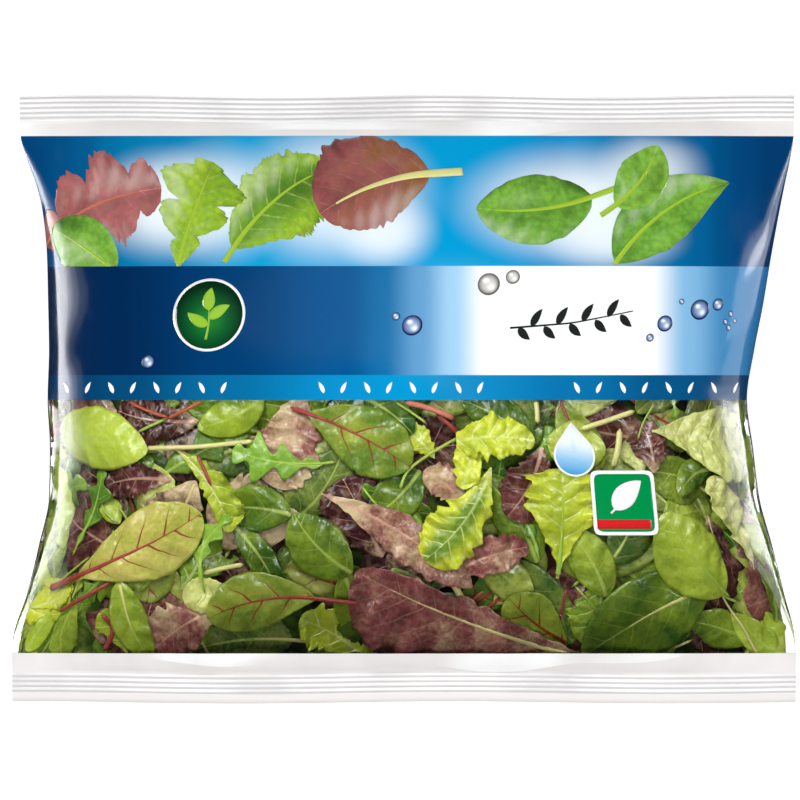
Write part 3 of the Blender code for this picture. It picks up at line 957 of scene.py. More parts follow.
# (kind, base, tip, width, bend, depths at base and tip, stalk beyond the base, tint, lean, stalk's colour,
# its size, changes), lengths in mm
HERO_LEAVES = (
    ("spinach", (-121.5, -11), (-88.5, -18), 22, 1, (1.0, 0.8), 0, (0.93, 0.25), 0, None, 1, SMOOTH),
    ("chard", (-117.5, -62), (-70, -39.5), 26.5, -2, (1.4, 0.9), 13, (0.85, 0.75), 0, CRIMSON, 1.2, NARROW),
    ("chard", (-33, -5), (2, -23.5), 24.5, 1.5, (1.2, 1.0), 6.5, (0.3, 0.05), 0, CRIMSON, 0.9, None),
    ("chard", (-30.5, -69), (-68, -76), 21, -3, (1.2, 1.2), 14, (0.45, 0.1), 0, CRIMSON, 0.8, None),
    ("pale", (85.5, -11), (120.5, -18.5), 26.5, 1.5, (1.6, 1.0), 0, (0.7, 0.35), 0, None, 1, None),
    ("lime", (18, -14.5), (45, -14.5), 14.5, 1.5, (1.3, 1.2), 0, (0.9, 0.15), 0, None, 1, WIDE),
    ("lime", (20, -31), (23.5, -8.5), 10.5, -1, (2.0, 1.8), 0, (0.9, 0.0), 0, None, 1, WIDE),
    ("lime", (30, -23.5), (7, -55.5), 19.5, 3, (1.6, 1.6), 0, (0.8, 0.85), 0, None, 1, None),
    ("red", (-28.5, -32.5), (23.5, -65), 15.5, 3, (1.0, 2.2), 0, (0.75, 0.45), 0.15, None, 1, POINTED),
    ("red", (65.5, -90.5), (-16.5, -59.5), 32, 3.5, (1.2, 1.6), 7, (0.7, 0.18), -0.5, CREAM, 1.3, RUFFLED),
    ("red", (12.5, -63), (43, -51), 13, 2, (2.6, 1.8), 0, (0.75, 0.2), 0, None, 1, None),
    ("lime", (53, -62), (54.5, -24), 29, -0.5, (2.0, 1.4), 0, (0.85, 0.3), 0, LIME_STALK, 1.3, FAN),
    ("spinach", (112.5, -67), (89.5, -39.5), 26.5, 2, (1.6, 1.2), 3, (0.76, 0.2), 0, LIME_STALK, 0.8, SMOOTH),
    ("spinach", (105, -65.5), (62, -89.5), 29, -2, (1.8, 2.2), 0, (0.24, 0.0), 0, CREAM, 0.9, SMOOTH),
    ("spinach", (-98.5, -63), (-87.5, -91.5), 13, -1.5, (2.4, 2.2), 0, (0.66, 0.1), 0, CREAM, 0.9, None),
    ("rocket", (-69.5, -65), (-59.5, -40.5), 9, 5, (3.2, 1.6), 2, (0.7, 0.1), 0, LIME_STALK, 0.8, None),
    ("rocket", (-26.5, -22), (-59, -17.5), 19.5, 2, (1.8, 2.0), 3.5, (0.75, 0.1), 0, LIME_STALK, 0.7, None),
    ("rocket", (-117.5, -52), (-106.5, -24.5), 13, -1.5, (3.4, 2.6), 3, (0.35, 0.0), 0, LIME_STALK, 0.6,
     None),
    ("lime", (-79.5, -16.5), (-60.5, -46), 10.5, 3, (2.6, 2.0), 1.5, (0.6, 0.2), -0.3, CREAM, 1.0, None),
    ("spinach", (-39, -40), (-62, -38), 16.5, -1.5, (2.6, 2.6), 0, (0.22, 0.0), 0, None, 1, None),
    ("spinach", (-58.5, -44), (-43, -68.5), 10.5, 2, (2.0, 2.0), 0, (0.12, 0.0), 0, None, 1, None),
    ("spinach", (-18, -60), (-38, -39.5), 20, 2, (2.2, 2.2), 0, (0.34, 0.0), 0, LIME_STALK, 0.5, None),
    ("red", (-35.5, 2.5), (-46.5, -29.5), 23, 2, (4.0, 3.4), 0, (0.9, 0.55), 0, None, 1, None),
    ("spinach", (-48.5, 0.5), (-71, -10), 14, 1.5, (3.6, 3.2), 0, (0.66, 0.05), 0, None, 1, None),
    ("pale", (-51.5, -67), (-76.5, -66.5), 12.5, 1.5, (3.6, 2.8), 0, (0.8, 0.3), 0, None, 1, None),
    ("red", (-62.5, -72), (-89.5, -89.5), 19.5, -2, (4.2, 3.0), 0, (0.85, 0.4), 0, None, 1, None),
    ("red", (-80.5, -28), (-106.5, -30), 12.5, -1.5, (4.4, 3.8), 0, (0.35, 0.0), 0, None, 1, None),
    ("red", (-71, -7.5), (-101.5, -4), 17.5, 1.5, (4.6, 4.0), 0, (0.15, 0.0), 0, None, 1, None),
    ("spinach", (-14, 0.5), (3, -12), 14.5, 1.5, (3.8, 3.4), 0, (0.1, 0.0), 0, None, 1, None),
    ("lime", (10.5, -20.5), (0.5, -11), 10.5, -1, (3.0, 2.4), 0, (0.75, 0.3), 0, None, 1, None),
    ("red", (20, -38.5), (6.5, -26), 12, -3, (5.4, 4.4), 0, (0.7, 0.35), 0, None, 1, None),
    ("red", (47.5, -16.5), (35.5, -40.5), 17.5, 2, (4.2, 3.4), 0, (0.35, 0.0), 0, None, 1, None),
    ("spinach", (44.5, -14.5), (20, -0.5), 15.5, -1.5, (4.0, 3.6), 0, (0.25, 0.0), 0, LIME_STALK, 0.8, None),
    ("rocket", (46.5, -54.5), (36, -35), 7.5, -1.5, (2.6, 2.6), 2, (0.4, 0.0), 0, LIME_STALK, 0.6, None),
    ("spinach", (46, -56.5), (27, -26), 16.5, -2, (4.6, 4.2), 0, (0.32, 0.0), 0, None, 1, None),
    ("spinach", (-21, -60), (-18, -82.5), 13, 1.5, (3.2, 3.2), 0, (0.42, 0.0), 0, None, 1, None),
    ("lime", (-13, -90.5), (-36, -76), 15.5, -1.5, (3.2, 2.4), 0, (0.7, 0.3), 0, CREAM, 0.9, None),
    ("lime", (-0.5, -90.5), (-16.5, -77), 14, 1.5, (3.0, 2.4), 0, (0.65, 0.3), 0, None, 1, None),
    ("chard", (56.5, -84.5), (36, -68.5), 19, 1.5, (3.4, 3.0), 0, (0.42, 0.0), 0, CRIMSON, 0.5, None),
    ("red", (86, -25.5), (81.5, -8), 14.5, -1.5, (3.6, 3.4), 0, (0.35, 0.1), 0, None, 1, None),
    ("pale", (125, -59.5), (108, -27), 12.5, -1.5, (3.0, 2.2), 0, (0.9, 0.5), 0, None, 1, None),
    ("spinach", (69.5, -16.5), (49.5, -13.5), 19, 1.5, (3.4, 3.0), 0, (0.75, 0.6), 0, None, 1, None),
    ("spinach", (70, -68.5), (56.5, -45), 15.5, -1.5, (4.0, 3.6), 0, (0.5, 0.1), 0, None, 1, None),
    ("rocket", (94.5, 1), (97.5, -12), 8.5, -0.5, (3.0, 3.4), 0, (0.7, 0.2), 0, LIME_STALK, 0.5, None),
    ("spinach", (110.5, -24.5), (96, -33.5), 11, -3, (4.2, 3.4), 0, (0.22, 0.0), 0, None, 1, None),
    ("spinach", (136.5, -89.5), (114, -74.5), 12, 1.5, (3.2, 3.0), 0, (0.72, 0.2), 0, None, 1, None),
    ("spinach", (-121.5, -52), (-123, -18.5), 8.5, -0.5, (2.0, 1.6), 0, (0.85, 0.2), 0, None, 1, None),
    ("spinach", (-116, -70), (-119, -92), 12, -1, (3.0, 2.4), 0, (0.6, 0.1), 0, None, 1, None),
    ("spinach", (-99.5, -43), (-110, -35), 7.5, -1, (2.8, 2.4), 0, (0.75, 0.1), 0, None, 1, None),
    ("spinach", (26.5, -56), (44, -70), 14, 1, (5.0, 4.6), 0, (0.45, 0.4), 0, None, 1, None),
    ("spinach", (9, -84), (-11, -71.5), 12.5, -1, (5.2, 4.8), 0, (0.3, 0.0), 0, None, 1, None),
    ("lime", (-96, -89), (-105.5, -74), 10.5, -1.5, (3.8, 3.4), 0, (0.5, 0.2), 0, CRIMSON, 0.8, None),
    ("lime", (-132, -72.5), (-119.5, -66.5), 7.5, -0.5, (2.0, 1.6), 0, (0.95, 0.0), 0, None, 1, None),
    ("spinach", (-127, -62), (-121, -49), 7, 0.5, (2.2, 2.0), 0, (0.45, 0.0), 0, None, 1, None),
    ("spinach", (-134, -88), (-126, -74), 7.5, -1, (2.0, 2.0), 0, (0.85, 0.1), 0, None, 1, None),
    ("spinach", (-128, -92), (-120.5, -77.5), 8.5, 1, (2.6, 2.4), 0, (0.3, 0.0), 0, None, 1, None),
    ("rocket", (-101.5, -56), (-114.5, -69), 10.5, 1.5, (4.2, 4.0), 2, (0.45, 0.1), 0, LIME_STALK, 0.6, None),
    ("pale", (82, -28), (76, -14.5), 10.5, -1.5, (4.6, 4.0), 0, (0.5, 0.4), 0, None, 1, None),
    ("chard", (54, 0.5), (68, -24.5), 15.5, -1.5, (5.4, 5.0), 3.5, (0.4, 0.1), 0, CRIMSON, 0.7, None),
    ("spinach", (120.5, -84), (99.5, -77), 14, -1, (4.6, 4.4), 0, (0.3, 0.0), 0, None, 1, None),
    ("spinach", (121, -35), (120.5, -8.5), 8.5, -0.5, (1.6, 1.4), 0, (0.85, 0.2), 0, None, 1, None),
    ("red", (124.5, -43), (114.5, -32.5), 9, 1, (2.2, 2.0), 0, (0.95, 0.7), 0, None, 1, None),
    ("spinach", (128.5, -58), (123, -39.5), 7.5, 1, (1.8, 1.8), 0, (0.85, 0.1), 0, None, 1, None),
    ("spinach", (133, -77.5), (127, -56.5), 7.5, -0.5, (2.0, 2.0), 0, (0.25, 0.0), 0, None, 1, None),
    ("spinach", (136.5, -91.5), (128.5, -74), 9.5, -1, (2.4, 2.0), 0, (0.78, 0.1), 0, None, 1, None),
    ("spinach", (5.5, -24.5), (-13, -42), 15.5, 1.5, (5.0, 5.0), 0, (0.2, 0.0), 0, None, 1, None),
    ("rocket", (7, -45), (-14.5, -31), 14, -3, (3.4, 3.4), 2, (0.35, 0.0), 0, LIME_STALK, 0.4, None),
)
# (points along it, depths at its ends, radius, colour)
LOOSE_STALKS = (
    (((-96.5, -0.5), (-89, -4), (-81, -6.5)), (2.6, 1.6), 0.55, ORANGE),
    (((-69, -0.5), (-75, -3.5), (-82, -7)), (1.2, 1.4), 0.6, ORANGE),
    (((-89.5, -17), (-71, -16.5), (-51.5, -14.5)), (2.6, 1.5), 0.85, CREAM),
    (((-92.5, -11.5), (-87, -9), (-81.5, -6.5)), (3.2, 2.4), 0.5, LIME_STALK),
    (((-101, -63), (-111, -68.5), (-121.5, -74)), (3.0, 1.8), 0.75, CRIMSON),
    (((-71.5, -19), (-69, -24), (-66.5, -30)), (2.4, 2.6), 0.6, CRIMSON),
    (((0, -1), (9, -3), (18, -7)), (2.2, 1.4), 1.0, PINK),
    (((11, -5), (15.5, -8.5), (19.5, -13)), (2.2, 1.6), 0.9, CRIMSON),
    (((-3, -1), (2.5, -4.5), (8, -8.5)), (2.4, 2.0), 0.45, LIME_STALK),
    (((23, -11), (12.5, -16.5), (0.5, -24.5), (-1.5, -31.5)), (1.6, 2.4), 0.5, LIME_STALK),
    (((-70, -60.5), (-63.5, -58.5), (-55, -57)), (2.2, 1.6), 0.8, CREAM),
    (((16.5, -63), (19, -67), (21, -71.5)), (2.6, 2.6), 1.2, CREAM),
    (((23, -70), (25, -68.5), (27.5, -66.5)), (2.0, 2.0), 0.5, ORANGE),
    (((74.5, -10), (74, -17), (72, -24.5)), (2.8, 2.6), 1.1, CREAM),
    (((60.5, -10.5), (70, -7.5), (80, -4)), (2.6, 1.8), 0.9, CREAM),
    (((105.5, -49.5), (107, -58), (109, -67), (118, -70.5)), (1.2, 1.6), 0.5, LIME_STALK),
    (((108, -56.5), (113.5, -72), (123.5, -90.5)), (2.0, 1.8), 0.55, CREAM),
    (((59, -64.5), (67.5, -74), (78, -89.5)), (1.6, 1.8), 0.4, LIME_STALK),
    (((45.5, -0.5), (46, -4.5), (46, -8.5)), (1.8, 2.0), 0.9, CREAM),
    (((7.5, -54.5), (4, -52), (-0.5, -49), (-3, -54.5)), (1.4, 1.4), 0.5, LIME_STALK),
    (((87, -1), (82, -8.5), (80.5, -14.5)), (3.4, 3.2), 0.35, LIME_STALK),
    (((-14.5, -30), (-9.5, -37), (-1.5, -43.5), (7, -43)), (2.4, 2.2), 0.4, LIME_STALK),
    (((-105, -74.5), (-99.5, -79.5), (-104.5, -88)), (2.6, 2.0), 0.8, CRIMSON),
    (((-108.5, -35), (-104.5, -40), (-99.5, -43)), (2.0, 2.2), 0.4, LIME_STALK),
    (((-101, -35), (-98, -39.5), (-94, -45)), (1.6, 1.6), 0.45, LIME_STALK),
)
TOP_LEAVES = 18


def on_film(place):
    """A place on the bag's front in mm, as metres round and along the film."""
    return girth_of(place[0] / 1000, place[1] / 1000), place[1] / 1000


def line_through(points, fewest, step):
    """A rounded line through places on the bag's front, as metres round and along the film, and its run."""
    spots = np.array([on_film(point) for point in points])
    knots = run_along(*spots.T)
    run = np.linspace(0, knots[-1], max(fewest, int(knots[-1] / step)))
    return *(smooth_line(knots, spots[:, axis], run) for axis in (0, 1)), run


def lay_named_leaves(heap, pieces, rows):
    for kind, base, tip, width, bend, depth, petiole, tint, lean, stalk, rib_size, form in rows:
        start, end = ((1000 * girth_of(x / 1000, y / 1000), y) for x, y in (base, tip))
        twist = chance.uniform(-1.0, 1.0)
        add_leaf(heap, pieces, kind, start, end, width, bend, depth, petiole, tint, lean, stalk, rib_size,
                 twist, form)


def lay_loose_stalks(heap, pieces):
    for points, depth, radius, colour in LOOSE_STALKS:
        girth, y, run = line_through(points, 10, STALK_STEP)
        deep = np.interp(run, (0, run[-1]), depth) / 1000
        add_stalk(heap, pieces, girth, above_weld(y), deep, np.full_like(run, radius / 1000), colour)


def smooth_line(knots, values, run):
    """A curve through the values, rounded at its middle points."""
    line = np.interp(run, knots, values)
    for _ in range(6):
        line[1:-1] = (line[:-2] + 2 * line[1:-1] + line[2:]) / 4
    return line


# What the filling is mixed from: (kind, share, length from and to in mm, width as a share of it, stalk beyond
# the base, stalk colours)
MIX = (("spinach", 0.42, (26, 46), (0.48, 0.66), 8, (LIME_STALK, CREAM)),
       ("chard", 0.13, (28, 42), (0.52, 0.66), 18, (CRIMSON,)),
       ("rocket", 0.14, (34, 52), (0.34, 0.48), 14, (LIME_STALK,)),
       ("lime", 0.10, (28, 40), (0.70, 0.95), 0, (CREAM, None)),
       ("pale", 0.05, (28, 40), (0.60, 0.85), 0, (None,)),
       ("red", 0.16, (30, 48), (0.60, 0.90), 0, (CREAM, None)))


def lay_filling(heap, pieces, girths, alongs, depths, count, size, detail):
    """Leaves laid every way under a stretch of film, given by its ranges round and along the bag, in mm."""
    for _ in range(count):
        kind, _, lengths, ratios, petiole, stalks = MIX[chance.choice(len(MIX), p=[row[1] for row in MIX])]
        length = chance.uniform(*lengths) * size
        centre = np.array((chance.uniform(*girths), chance.uniform(*alongs)))
        angle = chance.uniform(0, TURN)
        half_way = np.array((math.cos(angle), math.sin(angle))) * length / 2
        depth = chance.uniform(*depths)
        tilt, twist = chance.uniform(-2.4, 2.4, 2) * size
        # The tint's brightness falls with the leaf's depth under the film: painted shade on the deeper
        # filling
        tint = (chance.uniform(0.1, 0.9) * math.exp(-max(0, depth - 1) / 6), chance.uniform(0, 0.75) ** 2)
        stalk = stalks[chance.integers(len(stalks))]
        add_leaf(heap, pieces, kind, centre - half_way, centre + half_way, length * chance.uniform(*ratios),
                 chance.uniform(-4, 4), (depth + tilt, depth - tilt), petiole * chance.uniform(0.3, 1), tint,
                 chance.uniform(-0.2, 0.2), stalk, 0.8, twist, None, detail)


# Stretches to fill: (round the bag, along it, depths, how many leaves, their size, their detail)
FILLING = (((-156, -132), (-89, 3), (0.2, 0.8), 46, 0.66, 0.44),
           ((132, 156), (-89, 3), (0.2, 0.8), 46, 0.66, 0.44),
           ((-132, 132), (-89, 5), (3.5, 7.0), 88, 0.85, 0.52),
           ((-165, -120), (-89, 4), (0.6, 2.4), 36, 0.8, 0.42),
           ((120, 165), (-89, 4), (0.6, 2.4), 36, 0.8, 0.42),
           ((-132, 132), (-88, 6), (8.0, 11.0), 54, 1.1, 0.42),
           ((165, 268), (-87, 5), (1.5, 5.0), 30, 1.0, 0.55),
           ((-268, -165), (-87, 5), (1.5, 5.0), 30, 1.0, 0.55),
           ((150, 268), (-84, 6), (7.0, 11.0), 12, 1.1, 0.42),
           ((-268, -150), (-84, 6), (7.0, 11.0), 12, 1.1, 0.42))


def make_leaves():
    heap, pieces = Heap(), Pieces()
    lay_named_leaves(heap, pieces, HERO_LEAVES[:TOP_LEAVES])
    lay_loose_stalks(heap, pieces)
    lay_named_leaves(heap, pieces, HERO_LEAVES[TOP_LEAVES:])
    for stretch in FILLING:
        lay_filling(heap, pieces, *stretch)
    for name, mesh in pieces.meshes.items():
        material = stalk_material() if name == "stalks" else leaf_material(name)
        piece = finish_piece(mesh, name if name == "stalks" else name + "_leaves", material)
        if name != "stalks":
            thicken(piece, LEAF_THICKNESS)


def core_skin():
    """Leaves too deep to tell apart, as dark greens and a few dark reds: painted shade of the deep heap,
    lifted to paler greens at the bag's sides, where the sheet comes up close under the film.
    """
    finish = Finish("deep_leaves")
    place = finish.place()
    spots = finish.noise(place, 90.0, 4.0, 0.6)
    patches = finish.noise(place, 34.0, 2.0)
    green = finish.mix(finish.step(spots, 0.35, 0.65), srgb(20, 30, 8), srgb(74, 98, 28))
    colour = finish.mix(finish.step(patches, 0.55, 0.62), green, srgb(52, 28, 22))
    beside = finish.size(finish.axes(place)[0])
    # Paler greens at the sides, where the sheet lies just under the film: less painted shade there
    paler = finish.mix(finish.step(spots, 0.38, 0.62), srgb(88, 116, 40), srgb(176, 188, 84))
    colour = finish.mix(finish.step(beside, 0.108, 0.116), colour, paler)
    normal = finish.bump(spots, 0.002, 0.8)
    return finish.done(finish.node("BsdfPrincipled", {
        "Base Color": colour, "Roughness": 0.6, "Specular IOR Level": 0.1, "Normal": normal}).outputs[0])


# The core's depth, how much less it is round the bag's side edges, and the core's ends along the bag
CORE_DEPTH, EDGE_RISE, EDGE_GIRTH, EDGE_REACH = 0.0135, 0.0124, 0.142, 0.012
CORE_LOW, CORE_HIGH = -0.0892, 0.086


def make_core():
    """What fills the bag's middle, below the leaves that show."""
    def points(columns, y):
        girth = columns * GIRTH
        deep = CORE_DEPTH - EDGE_RISE * np.exp(-((np.abs(girth) - EDGE_GIRTH) / EDGE_REACH) ** 2)
        deep += (0.1 * deep * np.sin(girth / 0.0083 + 2 * np.sin(y / 0.011))
                 * np.cos(y / 0.0095 + girth / 0.02))
        return inside(girth, np.full_like(girth, y), np.where(y > 0.008, 0.006, deep))
    mesh = bmesh.new()
    sheet_grid(mesh, 190, list(np.linspace(CORE_LOW, CORE_HIGH, 100)), points)
    bmesh.ops.remove_doubles(mesh, verts=mesh.verts, dist=0.00005)
    bmesh.ops.holes_fill(mesh, edges=[edge for edge in mesh.edges if edge.is_boundary])
    bmesh.ops.recalc_face_normals(mesh, faces=mesh.faces)
    finish_piece(mesh, "deep_leaves", core_skin())


make_leaves()
make_core()

# ---------------------------------------------------------------- the print on the film

PRINT_LIFT = 0.00008
PRINT_STEP = 0.00003
INK_THICKNESS = 0.00004
LOBED = dict(lobes=3.2, notches=(0.62, 0.28), slant=0.1, widest=0.6, neck=0.5, frill=(0.05, 9),
             teeth=(0.03, 19), cells=(70, 32))
OAK = dict(lobes=3.6, notches=(0.60, 0.28), slant=0.1, widest=0.45, neck=0.1, frill=(0.06, 9),
           teeth=(0.04, 21), cells=(80, 36))
FRILLED = dict(widest=0.50, frill=(0.06, 6), teeth=(0.05, 24), cells=(80, 30))
ROUND = dict(widest=0.5, frill=(0.04, 4), teeth=(0.03, 9))
LONG = dict(widest=0.40, blunt=0.85)
MARK = dict(widest=0.42, blunt=0.8, neck=0.0, frill=(0.0, 1), teeth=(0.0, 1), slant=0.0, cells=(8, 4))
WHITE_INK, LEAF_INK, DARK_INK = (250, 251, 252), (150, 196, 60), (34, 38, 34)

# (kind, base, tip, width, bend, tint, lean, its form's changes, layer, stalk beyond the base, stalk's width,
# its colour), lengths in mm
PRINTED_LEAVES = (
    ("red", (-124, 53), (-84, 73), 38, 4, (0.75, 0.0), 0, OAK, 0, 0, 1.0, PINK),
    ("spinach", (-100, 44), (-122, 59), 21, -1.5, (0.75, 0.2), 0, {}, 2, 0, 0.9, LIME_STALK),
    ("lime", (-78, 45), (-66, 82), 33, 2, (0.6, 0.1), 0, LOBED, 2, 2, 1.7, LIME_STALK),
    ("lime", (-59, 52), (-26, 80), 31, 4, (0.5, 0.75), 0.1, FRILLED, 0, 5, 1.6, LIME_STALK),
    ("red", (9, 78), (-29, 64), 35, -3, (0.6, 0.35), 0.15, ROUND, 2, 11, 2.2, CREAM),
    ("spinach", (65, 70), (25, 66), 25, 2.5, (0.6, 0.1), 0, {}, 0, 13, 1.6, LIME_STALK),
    ("spinach", (73, 67), (88, 88), 17, -2, (0.8, 0.2), 0, {}, 4, 6, 1.5, LIME_STALK),
    ("spinach", (73, 47), (112.5, 75), 24, 5, (0.65, 0.1), 0, LONG, 2, 4, 1.6, LIME_STALK),
)
# Beads of water: (place, radius), in mm
DROPS = (((29.2, 39.6), 3.8), ((37.5, 42.1), 2.4), ((2.8, 25.4), 3.5), ((-2.8, 28.5), 1.4),
         ((-88.3, 12.9), 2.4), ((102.2, 30.9), 3.5), ((108.5, 32.7), 2.1), ((95.9, 33.7), 1.0),
         ((90.0, 26.1), 2.8), ((84.8, 21.2), 1.4), ((113.0, 29.5), 1.0), ((111.2, 26.8), 1.0),
         ((114.4, 27.1), 0.8), ((112.3, 24.7), 1.0))
BADGE_PLACE, LABEL_PLACE, SQUARE_PLACE = (-67.4, 29.0), (58.7, -19.5), (76.0, -35.8)
# The badge's sprig: (root, tip, width), from the badge's middle
BADGE_LEAVES = (((0.2, 1.5), (1.2, 9.4), 4.4), ((0.2, -1.5), (7.4, 3.4), 3.9),
                ((0.0, -3.5), (-7.2, 0.8), 3.9))
STRIPE_GROUPS = ((-117.0, -62.0), (-28.5, 26.4), (59.4, 115.0))


def ink_material():
    finish = Finish("printed_ink")
    own = finish.held("stalk_colour", "Color")
    place = finish.place()
    grain = finish.noise(place, 900.0, 2.0, 0.5)
    colour = finish.mix(finish.step(grain, 0.3, 0.7, 0.0, 0.04), own, (0, 0, 0, 1))
    return finish.done(printed_skin(finish, colour))


def print_grid(pieces, name, girth, y, layer, values):
    lift = np.full_like(girth, -PRINT_LIFT - PRINT_STEP * layer)
    pieces.add_grid(name, inside(girth, y, lift), values)


def print_blade(pieces, name, base, tip, width, bend, form, layer, colour=None, tint=(0.5, 0.0), lean=0.0,
                kind=None):
    """A flat leaf shape on the film: in one ink, or shaded as a leaf with light falling across it. Gives its
    middle line."""
    line = Midline(np.array(on_film(base)), np.array(on_film(tip)), bend / 1000)
    turns = chance.uniform(0, TURN, 8)
    rows, columns = form["cells"]
    up, out = np.meshgrid(np.linspace(0, 1, rows + 1), np.linspace(1, -1, columns + 1), indexing="ij")
    half = width / 2000
    off, run, girth, y = blade(line, form, up, out, half, turns, lean)
    if colour is not None:
        print_grid(pieces, name, girth, y, layer, {"stalk_colour": spread(srgb(*colour), up)})
        return line
    calmer = form | dict(crumple=0.1, ruffle=(0.6, 3))
    relief = leaf_relief(calmer, LOOKS[kind], up, off / half, run, off, 0.0, turns)
    slope = (np.gradient(relief, axis=0) / (line.length / rows)
             + 0.6 * np.gradient(relief, axis=1) / (half / columns))
    swell = np.sin(3.1 * up + 2 * out + turns[6]) * np.sin(2.3 * up - 3 * out + turns[7])
    lit = 0.5 + 0.12 * np.tanh(2.5 * out) + 0.11 * np.tanh(slope / 700) + 0.22 * swell
    print_grid(pieces, name, girth, y, layer, leaf_layers(up, out, run, off, lit.clip(0, 1), tint))
    return line


def print_ribbon(pieces, girth, y, widths, colour, layer):
    """A ribbon of ink along a line on the film, as wide as widths."""
    wide = np.linspace(-1, 1, 5)[None, :] * (widths / 2000)[:, None]
    girth, y = beside(girth, y, -wide)
    darker = (1 - 0.22 * np.linspace(0, 1, 5))[None, :, None]
    shades = np.array(srgb(*colour)) * darker + 0 * girth[:, :, None]
    print_grid(pieces, "printed_marks", girth, y, layer, {"stalk_colour": shades})


def print_line(pieces, points, width, colour, layer, taper=1.0):
    """A line of ink through points, narrowing to a share of its width."""
    girth, y, run = line_through(points, 6, 0.0012)
    print_ribbon(pieces, girth, y, width * np.linspace(1, taper, len(run)), colour, layer)


def print_patch(pieces, centre, radius, layer, colour, reach=None, cells=16):
    """A patch of ink. reach gives its outline's radius each way, and colour its shades at (u, v)."""
    v, u = np.meshgrid(np.linspace(-1, 1, cells + 1), np.linspace(-1, 1, cells + 1), indexing="ij")
    across, along = u * np.sqrt(1 - v ** 2 / 2), v * np.sqrt(1 - u ** 2 / 2)
    size = radius / 1000 * (reach(np.arctan2(along, across)) if reach else 1.0)
    middle = on_film(centre)
    shades = colour(across, along) if callable(colour) else spread(srgb(*colour), u)
    print_grid(pieces, "printed_marks", middle[0] + across * size, middle[1] + along * size, layer,
               {"stalk_colour": shades})


def blended(stops, share):
    """Colours along a run of (place, colour) stops."""
    places = [place for place, _ in stops]
    channels = zip(*(srgb(*colour) for _, colour in stops))
    return np.stack([np.interp(share, places, channel) for channel in channels], -1)


def water_drop(light, middle, dark):
    """Shades of a bead of water: dark round its lower right rim, with a gleam at its upper left."""
    def shades(u, v):
        span = np.hypot(u, v)
        rim = (0.85 + 0.25 * (u - v)) * span ** 2.8 + 0.2 * span ** 9
        body = 0.30 + 0.10 * (v - u) - 0.42 * np.exp(-((u - 0.30) ** 2 + (v + 0.34) ** 2) / 0.09)
        gleam = 1.1 * np.exp(-((u + 0.28) ** 2 / 0.05 + (v - 0.34) ** 2 / 0.03))
        return blended(((0.0, light), (0.4, middle), (1.0, dark)), (rim + body - gleam).clip(0, 1))
    return shades


def teardrop(angle):
    lean = np.abs((angle - math.pi / 2 + math.pi) % TURN - math.pi)
    touch = math.acos(1 / 1.62)
    return np.where(lean < touch, 1 / np.cos(touch - lean), 1.0)


def rounded_square(angle):
    return (np.abs(np.cos(angle)) ** 12 + np.abs(np.sin(angle)) ** 12) ** (-1 / 12)


def shaded(stops, share):
    """Shades of a patch that run along colour stops by a share worked out from (u, v)."""
    return lambda u, v: blended(stops, share(u, v))


def print_mark(pieces, base, tip, width, bend, layer, colour, form=MARK):
    print_blade(pieces, "printed_marks", base, tip, width, bend, form, layer, colour=colour)


def print_badges(pieces):
    """Plain round badge with a sprig, clear drop label and square mark with a leaf."""
    x, y = BADGE_PLACE
    greens = shaded(((0.0, (40, 138, 52)), (0.55, (14, 92, 44)), (1.0, (6, 44, 24))),
                    lambda u, v: np.hypot(u, v + 0.15).clip(0, 1))
    print_patch(pieces, (x, y), 12.6, 0, WHITE_INK, cells=24)
    print_patch(pieces, (x, y), 11.7, 1, greens, cells=24)
    print_line(pieces, ((x - 1, y - 8.5), (x + 0.4, y - 3), (x + 0.2, y + 2)), 0.9, LEAF_INK, 2, 0.5)
    for root, end, width in BADGE_LEAVES:
        print_mark(pieces, (x + root[0], y + root[1]), (x + end[0], y + end[1]), width, 0.5, 3, LEAF_INK)
    blues = shaded(((-1.0, (64, 156, 216)), (-0.2, (150, 202, 236)), (0.6, (236, 245, 252))),
                   lambda u, v: v + 0.15 * u)
    print_patch(pieces, LABEL_PLACE, 7.2, 0, WHITE_INK, teardrop, 24)
    print_patch(pieces, LABEL_PLACE, 6.55, 1, blues, teardrop, 24)
    x, y = SQUARE_PLACE
    print_patch(pieces, (x, y), 11.2, 0, WHITE_INK, rounded_square, 24)
    print_patch(pieces, (x, y), 10.0, 1, (0, 142, 72), rounded_square, 24)
    print_line(pieces, ((x - 9.4, y - 7.4), (x + 9.4, y - 7.4)), 3.2, (222, 34, 38), 2)
    print_line(pieces, ((x - 4.6, y - 3.6), (x + 4.2, y + 5.6)), 0.7, WHITE_INK, 2)
    print_mark(pieces, (x - 3.4, y - 2.4), (x + 5.6, y + 7.6), 7.6, 0.6, 3, WHITE_INK,
               MARK | dict(cells=(14, 8)))


def print_sprig(pieces):
    """A dark sprig on the white field."""
    print_line(pieces, ((36.5, 24.5), (58.0, 26.2), (79.0, 30.4)), 0.7, DARK_INK, 0, 0.5)
    for index in range(9):
        x = 39.5 + 4.4 * index
        y = 24.7 + 0.0031 * (x - 36.5) ** 2
        side = 1 if index % 2 else -1
        print_mark(pieces, (x, y), (x + 3.8, y + side * 5.2 + 1.0), 2.7, side * 0.4, 1, DARK_INK)


def print_stripe(pieces):
    """Three rows of small white leaves along the stripe."""
    for start, end in STRIPE_GROUPS:
        for index, x in enumerate(np.linspace(start, end, 8)):
            side = 1 if index % 2 else -1
            print_mark(pieces, (x - 0.9 * side, 2.0), (x + 0.9 * side, 5.9), 1.5, 0.2 * side, 0, WHITE_INK)


